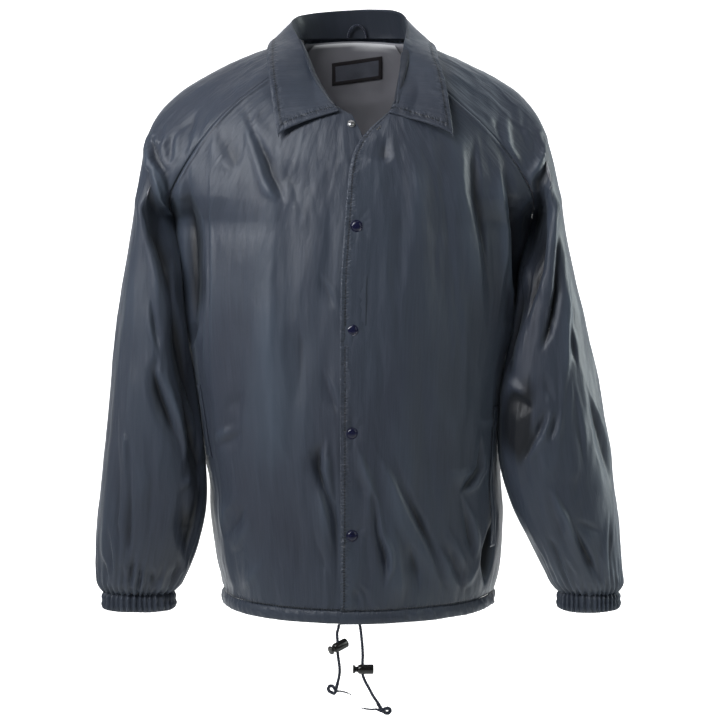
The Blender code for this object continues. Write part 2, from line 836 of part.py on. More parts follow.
def held_off(tree, point, clearance):
    """The point moved out until it clears the cloth beneath it."""
    where, normal, _, _ = tree.find_nearest(point * MM)
    where = where / MM
    short = clearance - (point - where).dot(normal)
    return point + normal * short if short > 0 else point


def make_collar(collection, panels):
    levels = [0.0, 0.2, 0.34, 0.4, 0.46, 0.56, 0.7, 0.85, 1.0]
    tree = outer_tree(panels)

    def point(u, v):
        place = collar_point(u, v)
        if v < 0.4:
            return place
        return held_off(tree, place, COLLAR_WALL + COLLAR_CLEAR)

    hint = collar_point(0.5, 0.8), Vector((0, 1, 0))
    return shell("collar", COLLAR_COLUMNS, levels, point, COLLAR_WALL, collection, "shell", hint)


def turned(name, profile, steps, place, collection, finish):
    """A turned piece: a closed profile (radius, height) spun round an axis set by place."""
    bm = bmesh.new()
    verts = [bm.verts.new((radius * MM, 0, height * MM)) for radius, height in profile]
    edges = [bm.edges.new(pair) for pair in zip(verts, verts[1:])]
    if profile[0][0] > 0:
        edges.append(bm.edges.new((verts[-1], verts[0])))
    bmesh.ops.spin(
        bm, geom=verts + edges, cent=(0, 0, 0), axis=(0, 0, 1), angle=2 * math.pi,
        steps=steps, use_merge=True,
    )
    bmesh.ops.remove_doubles(bm, verts=bm.verts, dist=0.00001)
    bmesh.ops.recalc_face_normals(bm, faces=bm.faces)
    item = add_object(name, mesh_from(bm, name), collection, finish)
    item.matrix_world = place
    return item


def placing(point, axis):
    """Matrix that puts a piece's own +Z along axis at a point given in millimetres."""
    turn = Vector(axis).normalized().to_track_quat("Z", "Y").to_matrix().to_4x4()
    return Matrix.Translation(Vector(point) * MM) @ turn


def level_of(height):
    """Level of a panel whose front edge is at a height."""
    low, high = 0.0, 1.0
    for _ in range(40):
        middle = (low + high) / 2
        if read(LEVELS, middle)[0] < height:
            low = middle
        else:
            high = middle
    return low


def share_at(side, x, level):
    """Share across a front where it reaches an x at a level."""
    low, high = 0.0, 1.0
    out = -1 if side == RIGHT else 1
    for _ in range(40):
        middle = (low + high) / 2
        if (front_base(side, middle, level).x - x) * out < 0:
            low = middle
        else:
            high = middle
    return low


CAP_PROFILE = ((0, 0), (7.4, 0), (7.4, 0.7), (6.3, 1.5), (4.0, 2.0), (0, 2.2))
STUD_PROFILE = ((0, 0), (5.0, 0), (5.0, 0.6), (2.2, 0.9), (2.0, 2.2), (0, 2.6))
SOCKET_PROFILE = ((2.2, 0), (5.6, 0), (5.6, 1.2), (4.6, 2.0), (2.2, 2.0))


def make_snaps(collection):
    surface = front_surface(LEFT)
    for number in range(VISIBLE_SNAPS):
        height = TOP_VISIBLE_SNAP - SNAP_SPACING * number
        level = level_of(height)
        share = share_at(LEFT, surface(0, level).x + SNAP_FROM_EDGE, level)
        normal = normal_of(surface, share, level, from_body)
        point = surface(share, level) + normal * SURFACE_GAP
        turned(
            f"snap_cap_{number + 1}", CAP_PROFILE, 14, placing(point, normal), collection,
            "snap_navy",
        )


TOP_STUD = (-11.0, -103.0)
TOP_SOCKET = (20.5, -107.0)


def make_top_snap(collection):
    """The open snap at the neck: the stud outside the right front, the socket inside the left."""
    level = level_of(TOP_STUD[1])
    share = share_at(RIGHT, TOP_STUD[0], level)
    surface = front_surface(RIGHT)
    normal = normal_of(surface, share, level, from_body)
    point = surface(share, level) + normal * SURFACE_GAP
    turned("snap_stud_top", STUD_PROFILE, 14, placing(point, normal), collection, "snap_steel")
    level = level_of(TOP_SOCKET[1])
    share = share_at(LEFT, TOP_SOCKET[0], level)
    surface = front_surface(LEFT)
    normal = normal_of(surface, share, level, from_body)
    point = surface(share, level) - normal * (WALL + 2 * SURFACE_GAP)
    turned(
        "snap_socket_top", SOCKET_PROFILE, 14, placing(point, -normal), collection, "snap_steel"
    )


def make_lining(collection):
    """The back lining that shows through the neck, laid inside the back from its own points."""
    levels = body_levels()[BODY_ROWS:]
    levels[-1] = 0.985
    first = LINING_MARGIN / BACK_COLUMNS
    columns = BACK_COLUMNS - 2 * LINING_MARGIN

    def point(u, v):
        share = first + (1 - 2 * first) * u
        return back_surface(share, v) - normal_of(back_base, share, v, from_body) * LINING_DROP

    hint = point(0.5, 0.8), Vector((0, 1, 0))
    return shell("lining_back", columns, levels, point, LINING_WALL, collection, "lining", hint)


def make_label(collection, lining):
    """Bare woven label, laid on the lining below the back of the neck."""
    tree = outer_tree([lining])
    width, height = LABEL_SIZE
    turn = math.radians(LABEL_TURN)
    levels = [row / 4 for row in range(5)]

    def point(u, v):
        across, up = (u - 0.5) * width, (v - 0.5) * height
        x = LABEL_CENTRE[0] + across * math.cos(turn)
        z = LABEL_CENTRE[1] + up + across * math.sin(turn)
        where, normal, _, _ = tree.ray_cast(Vector((x, 0, z)) * MM, Vector((0, 1, 0)))
        return where / MM - normal * (LINING_WALL + LABEL_CLEAR)

    hint = point(0.5, 0.5), Vector((0, 1, 0))
    return shell("label", 8, levels, point, LABEL_WALL, collection, "label", hint)


def tube(name, points, radius, resolution, collection, finish):
    """A cord: a poly curve with a round bevel and closed ends."""
    curve = bpy.data.curves.new(name, "CURVE")
    curve.dimensions = "3D"
    curve.bevel_depth = radius * MM
    curve.bevel_resolution = resolution
    curve.use_fill_caps = True
    spline = curve.splines.new("POLY")
    spline.points.add(len(points) - 1)
    for slot, point in zip(spline.points, points):
        slot.co = (*(Vector(point) * MM), 1.0)
    item = bpy.data.objects.new(name, curve)
    collection.objects.link(item)
    curve.materials.append(finish_of(finish))
    return item


def as_mesh(item, collection, finish):
    """The curve object made a mesh with its caps welded."""
    graph = bpy.context.evaluated_depsgraph_get()
    mesh = bpy.data.meshes.new_from_object(item.evaluated_get(graph))
    bm = bmesh.new()
    bm.from_mesh(mesh)
    bmesh.ops.remove_doubles(bm, verts=bm.verts, dist=0.00001)
    bmesh.ops.recalc_face_normals(bm, faces=bm.faces)
    bm.to_mesh(mesh)
    bm.free()
    name, place = item.name, item.matrix_world.copy()
    bpy.data.objects.remove(item, do_unlink=True)
    mesh.materials.clear()
    made = add_object(name, mesh, collection, finish)
    made.matrix_world = place
    return made


def smooth_route(points, steps):
    """Evenly stepped points on a smooth curve through hand-chosen ones."""
    rows = [(index, *point) for index, point in enumerate(points)]
    last = len(points) - 1
    return [Vector(read(rows, last * step / steps)) for step in range(steps + 1)]


def make_hanger_loop(collection):
    """Short loop of cord at the back of the neck."""
    points = []
    for step in range(LOOP_STEPS + 1):
        angle = math.pi * step / LOOP_STEPS
        out = LOOP_WIDTH / 2 * math.cos(angle)
        up = LOOP_HEIGHT * math.sin(angle)
        points.append((LOOP_X + out, LOOP_Y - LOOP_LEAN * up, LOOP_Z + up))
    loop = tube("hanger_loop", points, LOOP_RADIUS, 2, collection, "cord")
    return as_mesh(loop, collection, "cord")


def make_welt(side, collection, panel):
    """Pocket welt: a narrow strip laid on the front from its own points."""
    top, bottom, share_top, share_bottom = POCKET[side]
    levels = [row / 8 for row in range(9)]
    surface = front_surface(side)
    tree = outer_tree([panel])

    def point(u, v):
        height = bottom + (top - bottom) * v
        share = share_bottom + (share_top - share_bottom) * v
        share += (u - 0.5) * WELT_WIDTH / PANEL_ROUND
        return held_off(tree, surface(share, level_of(height)), WELT_CLEAR + WELT_WALL)

    hint = point(0.5, 0.5), point(0.5, 0.5) - Vector((0, 0, point(0.5, 0.5).z))
    return shell(f"pocket_welt_{side}", 3, levels, point, WELT_WALL, collection, "shell", hint)


# Drawcords and their locks


def cord_points(number):
    plane = CORD_PLANE[number]
    return [(x, plane, z) for x, z in CORD_ROUTE[number]]


def cut(item, cutter):
    boolean = item.modifiers.new("cut", "BOOLEAN")
    boolean.operation = "DIFFERENCE"
    boolean.object = cutter
    boolean.solver = "EXACT"


def cutter_from(bm, name, place, cutters):
    item = bpy.data.objects.new(name, mesh_from(bm, name))
    cutters.objects.link(item)
    item.matrix_world = place
    item.hide_render = True
    item.display_type = "WIRE"
    return item


def lock_point(number):
    """Where a cord's line passes through its lock."""
    x, z = CORD_ROUTE[number][LOCK[number][0]]
    return Vector((x, CORD_PLANE[number], z))


def cord_cutter(number, cutters):
    """Straight hole along the cord through a lock."""
    bm = bmesh.new()
    bmesh.ops.create_cone(
        bm, cap_ends=True, segments=12, radius1=HOLE_RADIUS * MM, radius2=HOLE_RADIUS * MM,
        depth=60 * MM,
    )
    return cutter_from(
        bm, f"cord_hole_{number}", placing(lock_point(number), (0, 0, 1)), cutters
    )


def slot_cutter(number, cutters):
    """Slot through the stem that leaves room for the cord at rest and pressed in."""
    bm = bmesh.new()
    bmesh.ops.create_cube(bm, size=1.0)
    axis = Vector(LOCK[number][1]).normalized()
    up = (Vector((0, 0, 1)) - axis * axis.z).normalized()
    side = up.cross(axis)
    lean = abs(axis.z) * STEM_RADIUS * 2
    length = 2 * HOLE_RADIUS + PRESS_TRAVEL + 2 * SLOT_MARGIN + lean
    middle = lock_point(number) + axis * (PRESS_TRAVEL / 2)
    frame = Matrix((axis, side, up)).transposed().to_4x4()
    size = Matrix.Diagonal((length * MM, 2 * HOLE_RADIUS * MM, 30 * MM, 1.0))
    bmesh.ops.transform(bm, matrix=size, verts=bm.verts)
    place = Matrix.Translation(middle * MM) @ frame
    return cutter_from(bm, f"stem_slot_{number}", place, cutters)


def make_lock(number, collection, cutters):
    """Sprung cord lock: a barrel closed at one end and a button whose stem slides in it."""
    axis = Vector(LOCK[number][1]).normalized()
    half = BARREL_LENGTH / 2
    place = placing(lock_point(number) - axis * LOCK_OFFSET, axis)
    barrel_profile = (
        (0, -half), (BARREL_RADIUS - 0.8, -half), (BARREL_RADIUS, -half + 0.8),
        (BARREL_RADIUS, half - 2.5), (BARREL_RADIUS - 1.0, half), (BORE_RADIUS, half),
        (BORE_RADIUS, -half + BARREL_FLOOR), (0, -half + BARREL_FLOOR),
    )
    barrel = turned(
        f"cord_lock_barrel_{number}", barrel_profile, 14, place, collection, "lock"
    )
    cut(barrel, cord_cutter(number, cutters))
    head_back = half + HEAD_CLEAR
    button_profile = (
        (0, half - STEM_REACH), (STEM_RADIUS, half - STEM_REACH), (STEM_RADIUS, half - 0.5),
        (STEM_RADIUS - 0.6, half + 0.8), (STEM_RADIUS - 0.3, head_back),
        (HEAD_RADIUS, head_back + 0.7), (HEAD_RADIUS, head_back + HEAD_THICKNESS - 0.6),
        (HEAD_RADIUS - 0.7, head_back + HEAD_THICKNESS), (0, head_back + HEAD_THICKNESS),
    )
    button = turned(
        f"cord_lock_button_{number}", button_profile, 14, place, collection, "lock"
    )
    cut(button, slot_cutter(number, cutters))


def make_knot(number, collection):
    """The knot and thin tail that end a cord, joined into one piece."""
    (x, z), tail = KNOT[number]
    plane = CORD_PLANE[number]
    bm = bmesh.new()
    ring = []
    for step in range(KNOT_SIDES):
        angle = 2 * math.pi * step / KNOT_SIDES
        ring.append(
            bm.verts.new(
                (
                    (KNOT_RADIUS + KNOT_TUBE * math.cos(angle)) * MM,
                    0,
                    KNOT_TUBE * math.sin(angle) * MM,
                )
            )
        )
    edges = [bm.edges.new((ring[i - 1], ring[i])) for i in range(KNOT_SIDES)]
    bmesh.ops.spin(
        bm, geom=ring + edges, cent=(0, 0, 0), axis=(0, 0, 1), angle=2 * math.pi, steps=12,
        use_merge=True,
    )
    bmesh.ops.remove_doubles(bm, verts=bm.verts, dist=0.00001)
    bmesh.ops.recalc_face_normals(bm, faces=bm.faces)
    knot = add_object(f"cord_knot_{number}", mesh_from(bm, "knot"), collection, "cord")
    knot.matrix_world = placing((x, plane, z), (0.15, 1, 0.1))
    points = smooth_route([(px, plane, pz) for px, pz in tail], 8)
    end = tube(f"tail_{number}", points, TAIL_RADIUS, 1, collection, "cord")
    tail_mesh = as_mesh(end, collection, "cord")
    tail_mesh.hide_render = True
    tail_mesh.display_type = "WIRE"
    join = knot.modifiers.new("tail", "BOOLEAN")
    join.operation = "UNION"
    join.object = tail_mesh
    join.solver = "EXACT"
    return tail_mesh


def make_cords(collection, cutters):
    for number in (1, 2):
        route = smooth_route(cord_points(number), CORD_STEPS)
        tube(f"drawcord_{number}", route, CORD_DIAMETER / 2, 2, collection, "cord")
        make_lock(number, collection, cutters)
        tail = make_knot(number, collection)
        collection.objects.unlink(tail)
        cutters.objects.link(tail)


def main():
    clear_scene()
    parts = new_collection("coach_jacket")
    cutters = new_collection("cutters")
    panels = [make_back(parts)]
    for side in (RIGHT, LEFT):
        front = make_front(side, parts)
        panels += [front, make_sleeve(side, parts)]
        make_cuff(side, parts)
        make_welt(side, parts, front)
    make_hem(parts)
    make_collar(parts, panels)
    make_label(parts, make_lining(parts))
    make_hanger_loop(parts)
    make_snaps(parts)
    make_top_snap(parts)
    make_cords(parts, cutters)


main()
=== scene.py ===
"""Looks of the coach jacket: thin creased cloth, stitching, snaps, drawcords and cord locks.

The tables repeat the part's own sizes in millimetres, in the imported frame: the front faces -Y,
the wearer's right side is at -X and the origin lies between the shoulders.
"""

import math
from bisect import bisect_right

import bmesh
import bpy
from bpy.props import FloatProperty, FloatVectorProperty, PointerProperty
from mathutils import Matrix, Vector, noise
from mathutils.bvhtree import BVHTree


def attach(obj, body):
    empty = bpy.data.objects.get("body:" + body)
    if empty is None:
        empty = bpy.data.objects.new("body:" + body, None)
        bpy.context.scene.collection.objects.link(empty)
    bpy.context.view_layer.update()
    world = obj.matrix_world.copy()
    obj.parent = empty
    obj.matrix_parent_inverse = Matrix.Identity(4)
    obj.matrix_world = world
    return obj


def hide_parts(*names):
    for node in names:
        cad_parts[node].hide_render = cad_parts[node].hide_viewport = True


bl_info = {
    "name": "Coach jacket",
    "version": (1, 0, 0),
    "blender": (4, 5, 0),
    "location": "3D View > Sidebar > Coach jacket",
    "description": "Builds the cloth, trims and stage of a snap-front coach jacket",
    "category": "Object",
}

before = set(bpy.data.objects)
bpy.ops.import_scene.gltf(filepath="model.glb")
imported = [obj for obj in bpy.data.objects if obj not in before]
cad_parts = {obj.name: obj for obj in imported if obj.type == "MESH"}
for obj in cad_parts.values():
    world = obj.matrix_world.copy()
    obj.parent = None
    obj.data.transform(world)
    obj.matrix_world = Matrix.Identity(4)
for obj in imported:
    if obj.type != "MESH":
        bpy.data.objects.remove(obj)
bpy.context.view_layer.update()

MM = 0.001
RIGHT, LEFT = "right", "left"
JACKET = "jacket"

# Heights
UNDERARM = -222.0
CUFF_TOP = -718.0
UNDERARM_LEVEL = 0.72

# How far up the panels run: level, height at the front edge, height at the seam
LEVELS = (
    (0.00, -717, -717),
    (0.18, -593, -593),
    (0.36, -469, -469),
    (0.54, -346, -346),
    (0.63, -284, -284),
    (0.72, -224, -222),
    (0.80, -188, -176),
    (0.88, -148, -118),
    (0.94, -116, -66),
    (1.00, -89, -12),
)

# Front edges: height, left front's edge, right front's edge, depth of the chest there
FRONT_EDGE = (
    (-733, -25, 7, -149),
    (-717, -25, 7, -152),
    (-660, -25, 7, -155),
    (-560, -25, 7, -154),
    (-450, -25, 7, -152),
    (-360, -25, 8, -149),
    (-300, -24, 9, -146),
    (-250, -21, 12, -142),
    (-196, -17, 14, -135),
    (-162, -14, 13, -128),
    (-135, -7, 9, -120),
    (-113, 8, 2, -112),
    (-89, 36, -10, -101),
)

# Side seams, then the front raglan seams: height, right x, left x, y, turn, reach
FRONT_SEAM = (
    (-733, -177, 169, 3, 90, 88),
    (-717, -181, 176, 3, 90, 90),
    (-690, -187, 184, 3, 90, 92),
    (-655, -192, 188, 3, 90, 94),
    (-610, -197, 189, 3, 90, 94),
    (-570, -199, 185, 3, 90, 94),
    (-530, -208, 184, 3, 90, 93),
    (-460, -217, 186, 3, 90, 93),
    (-410, -226, 194, 3, 90, 92),
    (-360, -233, 204, 3, 90, 92),
    (-300, -240, 215, 3, 90, 90),
    (-250, -244, 222, 3, 90, 88),
    (-222, -247, 226, 3, 88, 84),
    (-207, -247, 225, -30, 78, 64),
    (-190, -243, 221, -60, 60, 54),
    (-148, -220, 196, -74, 38, 56),
    (-105, -190, 160, -78, 30, 52),
    (-72, -157, 124, -74, 28, 42),
    (-43, -118, 93, -63, 28, 30),
    (-12, -78, 70, -40, 28, 18),
)

# Back raglan seams, used above the underarm: level, height, right x, left x, y, turn, reach
BACK_SEAM = (
    (0.72, -222, -247, 226, 3, 90, 80),
    (0.76, -204, -247, 225, 38, 76, 62),
    (0.80, -180, -240, 218, 68, 56, 56),
    (0.85, -140, -220, 197, 90, 38, 58),
    (0.90, -98, -190, 164, 101, 28, 56),
    (0.94, -60, -155, 128, 100, 24, 46),
    (0.97, -27, -115, 90, 85, 24, 32),
    (1.00, 4, -74, 60, 62, 24, 18),
)

# Centre of the back: level, height, x, y
BACK_CENTRE = (
    (0.00, -717, 0, 131),
    (0.20, -580, 0, 130),
    (0.40, -442, 0, 127),
    (0.55, -339, 0, 126),
    (0.65, -270, 0, 127),
    (0.72, -222, 0, 128),
    (0.80, -165, 0, 128),
    (0.88, -100, -1, 122),
    (0.94, -45, -3, 107),
    (1.00, 8, -5, 80),
)

# Top line of each sleeve, from the neck to the underarm: share, x, height
RIDGE = {
    RIGHT: (
        (0.00, -86, 3), (0.12, -114, -2), (0.24, -145, -11), (0.36, -180, -29),
        (0.48, -212, -45), (0.60, -243, -65), (0.70, -268, -87), (0.78, -281, -106),
        (0.86, -285, -138), (0.93, -286, -170), (1.00, -293, -203),
    ),
    LEFT: (
        (0.00, 70, 5), (0.12, 99, -5), (0.24, 127, -18), (0.36, 156, -31),
        (0.48, 184, -45), (0.60, 208, -60), (0.70, 228, -79), (0.78, 240, -100),
        (0.86, 253, -128), (0.93, 257, -160), (1.00, 261, -200),
    ),
}

# Sleeve head: share, outward, sideways and up parts of the arch at the seam, its reach there,
# its reach at the top line
HEAD = (
    (0.00, 0.05, 0.70, 0.70, 17, 20),
    (0.15, 0.12, 0.72, 0.66, 28, 32),
    (0.30, 0.40, 0.75, 0.50, 36, 38),
    (0.45, 0.75, 0.60, 0.20, 40, 45),
    (0.60, 0.97, 0.20, 0.00, 42, 50),
    (0.75, 0.95, -0.30, 0.00, 50, 66),
    (0.88, 0.60, -0.78, 0.00, 78, 88),
    (0.95, 0.30, -0.95, 0.00, 90, 98),
    (1.00, 0.00, -1.00, 0.00, 100, 106),
)
RIDGE_Y = 8.0

# Arm of each sleeve: height, right outer x, right inner x, left outer x, left inner x,
# front y, back y, rise of the outer side
ARM = (
    (-222, -293, -247, 261, 226, -72, 82, 19),
    (-250, -300, -245.5, 268, 225, -75, 82, 12),
    (-275, -304, -241, 274, 219.5, -78, 81, 7),
    (-300, -309, -234, 281, 211, -80, 80, 4),
    (-350, -317, -227, 293, 200, -84, 76, 0),
    (-411, -325, -219, 308, 188.5, -88, 70, 0),
    (-464, -330, -210, 318, 181, -90, 62, 0),
    (-535, -337, -202, 328, 181, -90, 54, 0),
    (-597, -344, -201, 338, 198, -86, 46, 0),
    (-650, -349, -212, 344, 224, -79, 38, 0),
    (-685, -350, -225, 346, 242, -69, 30, 0),
    (-705, -347, -237, 347, 254, -58, 22, 0),
    (-718, -340, -247, 342, 264, -48, 14, 0),
)
INNER_Y = -40.0
INNER_SLANT = 0.30

# Collar: share along it, then the neck seam, the fold and the leaf's edge as x, y, z each
COLLAR = (
    (0.00, -27, -104, -84, -28, -106, -84, -104, -118, -118),
    (0.08, -42, -92, -68, -40, -92, -72, -110, -101, -84),
    (0.17, -59, -72, -42, -57, -66, -42, -116, -80, -47),
    (0.26, -72, -41, -9, -74, -35, -3, -120, -44, -15),
    (0.35, -80.5, 6, 8.5, -90, 5, 27, -118, 10, 4),
    (0.43, -67, 57, 9.5, -76, 50, 41, -100, 78, 1),
    (0.50, -8, 78, 11, -17, 70, 48, -16, 98, -2),
    (0.57, 50, 60, 10, 44, 52, 47, 68, 80, 0),
    (0.65, 66, 8, 9, 62, 10, 31, 96, 12, 2),
    (0.74, 64, -40, -11, 57, -38, -3, 101, -46, -18),
    (0.83, 56, -72, -42, 51, -66, -42, 109, -80, -50),
    (0.92, 47, -92, -70, 45, -92, -73, 114, -101, -84),
    (1.00, 37, -104, -87, 37, -106, -87, 118, -118, -118),
)

# Folds of each piece, placed from the front: points along the fold as x and height, how far it
# sinks (a ridge is negative), its half width, and the height of the lip raised on its left
FRONT_FOLDS = {
    RIGHT: (
        (((-157, -74), (-144, -91), (-134, -111), (-121, -140), (-111, -168), (-101, -187),
          (-94, -203)), 4.0, 7, -1.6),
        (((-184, -102), (-175, -120), (-165, -140), (-154, -162)), 1.8, 8, -0.6),
        (((-100, -135), (-92, -162), (-82, -184), (-75, -216)), 1.6, 8, -0.6),
        (((-219, -148), (-220, -199), (-219, -251), (-217, -328), (-215, -387)), 6.0, 10, -1.5),
        (((-192, -145), (-193, -224), (-193, -326), (-192, -437)), 1.6, 2.6, 1.0),
        (((-200, -262), (-201, -327), (-202, -439)), 1.8, 2.6, 1.2),
        (((-209, -351), (-215, -374), (-220, -392)), 2.6, 4, 1.0),
        (((-116, -260), (-111, -360), (-109, -475), (-112, -578), (-126, -678)), -2.4, 18, 0),
        (((-152, -235), (-149, -324), (-153, -426), (-159, -518)), 1.2, 16, 0),
        (((-77, -344), (-75, -378), (-74, -438), (-72, -467)), 1.8, 10, 0),
        (((-53, -285), (-41, -309), (-29, -338)), 1.4, 4, 0.6),
        (((-49, -401), (-38, -434), (-28, -466)), 1.8, 4, 0.8),
        (((-43, -493), (-52, -517), (-53, -535), (-45, -561), (-35, -587), (-28, -612)), 4.2, 6, 2.2),
        (((-71, -498), (-59, -545), (-44, -589), (-30, -653)), -2.2, 6, 0),
        (((-63, -601), (-53, -636), (-38, -676)), 1.8, 8, 0),
        (((-152, -566), (-174, -601), (-181, -641)), -1.8, 6, 0),
        (((-144, -583), (-160, -614), (-183, -651)), 1.8, 6, 0),
        (((-132, -597), (-151, -627), (-170, -657)), -1.8, 6, 0),
        (((-120, -652), (-136, -678), (-156, -706)), -1.8, 6, 0),
        (((-189, -508), (-174, -496), (-156, -485)), -1.8, 5, 0),
        (((-187, -519), (-170, -507), (-145, -490)), 1.6, 5, 0),
        (((-178, -475), (-164, -456), (-142, -441)), 1.0, 7, 0),
        (((-86, -538), (-81, -602), (-79, -667), (-76, -713)), 1.6, 10, 0),
        (((-178, -667), (-179, -699), (-165, -716)), 1.6, 8, 0),
        (((-140, -84), (-124, -116), (-107, -147)), -1.6, 8, 0),
        (((-69, -135), (-60, -184), (-48, -234)), 1.0, 10, 0),
        (((-175, -325), (-171, -388), (-169, -454)), 1.0, 10, 0),
        (((-36, -485), (-33, -536), (-30, -599), (-29, -702)), 2.0, 5, 0),
    ),
    LEFT: (
        (((35, -116), (31, -134), (30, -153)), 3.0, 9, 0),
        (((130, -87), (129, -140), (132, -187), (141, -221), (147, -252), (154, -312),
          (161, -364)), -3.0, 9, 0),
        (((145, -107), (146, -140), (148, -188), (155, -221), (160, -269), (169, -339)), 3.4, 6, 0),
        (((178, -135), (178, -172), (180, -205), (183, -237), (184, -271), (181, -314),
          (176, -366)), -4.5, 5, 0),
        (((185, -139), (187, -172), (193, -205), (198, -238), (199, -272), (202, -316),
          (199, -345)), 7.5, 5.5, -2.5),
        (((198, -301), (201, -354), (192, -373), (185, -415)), -2.5, 6, 0),
        (((101, -135), (106, -197), (116, -273), (124, -349), (130, -417)), 1.6, 14, 0),
        (((76, -122), (80, -197), (88, -285)), -1.4, 14, 0),
        (((50, -159), (53, -234), (48, -322)), 1.2, 12, 0),
        (((-3, -505), (6, -533), (14, -556), (25, -580)), -2.6, 5, 0),
        (((-10, -516), (0, -548), (8, -573)), 1.5, 6, 0),
        (((10, -490), (26, -520), (35, -540), (46, -566), (61, -596), (80, -631), (93, -664),
          (108, -709)), -3.4, 7, 0),
        (((40, -506), (57, -561), (71, -593), (88, -628), (101, -658), (116, -705)), 4.2, 6.5, 0),
        (((13, -556), (19, -577), (23, -617), (32, -643), (34, -660), (30, -689)), 4.0, 3.6, 1.8),
        (((3, -573), (5, -611), (10, -650), (15, -702)), 1.6, 9, 0),
        (((40, -600), (47, -634), (51, -677), (51, -712)), -2.0, 7, 0),
        (((60, -626), (66, -643), (73, -667), (76, -700)), 3.0, 5.5, 0),
        (((97, -630), (111, -659), (129, -707)), -2.4, 4.5, 0),
        (((103, -620), (119, -652), (137, -701)), 2.6, 4.2, 0),
        (((110, -610), (126, -646), (142, -681)), -1.6, 5, 0),
        (((99, -461), (111, -502), (110, -541), (105, -579)), 1.6, 12, 0),
        (((107, -541), (128, -548), (151, -543)), -1.8, 6, 0),
        (((76, -424), (82, -475), (89, -539), (97, -592)), 1.2, 10, 0),
        (((152, -486), (155, -516), (154, -544), (139, -562), (127, -572)), 3.6, 4, 1.6),
        (((127, -572), (134, -593), (139, -612), (145, -643), (147, -663)), 3.4, 3.6, 1.6),
        (((156, -659), (145, -681), (132, -700)), -1.6, 5, 0),
        (((152, -479), (166, -484), (181, -488)), -1.8, 4, 0),
        (((179, -604), (171, -649), (163, -704)), 8.0, 4.5, 0),
        (((135, -363), (141, -417), (146, -460)), 1.0, 9, 0),
        (((-10, -683), (-3, -696), (3, -709)), 1.4, 3, 0.7),
        (((-4, -678), (5, -691), (10, -707)), 1.2, 3, 0.6),
        (((25, -359), (30, -409), (25, -460)), 1.0, 12, 0),
        (((3, -259), (8, -321), (5, -384)), 0.9, 8, 0),
    ),
}
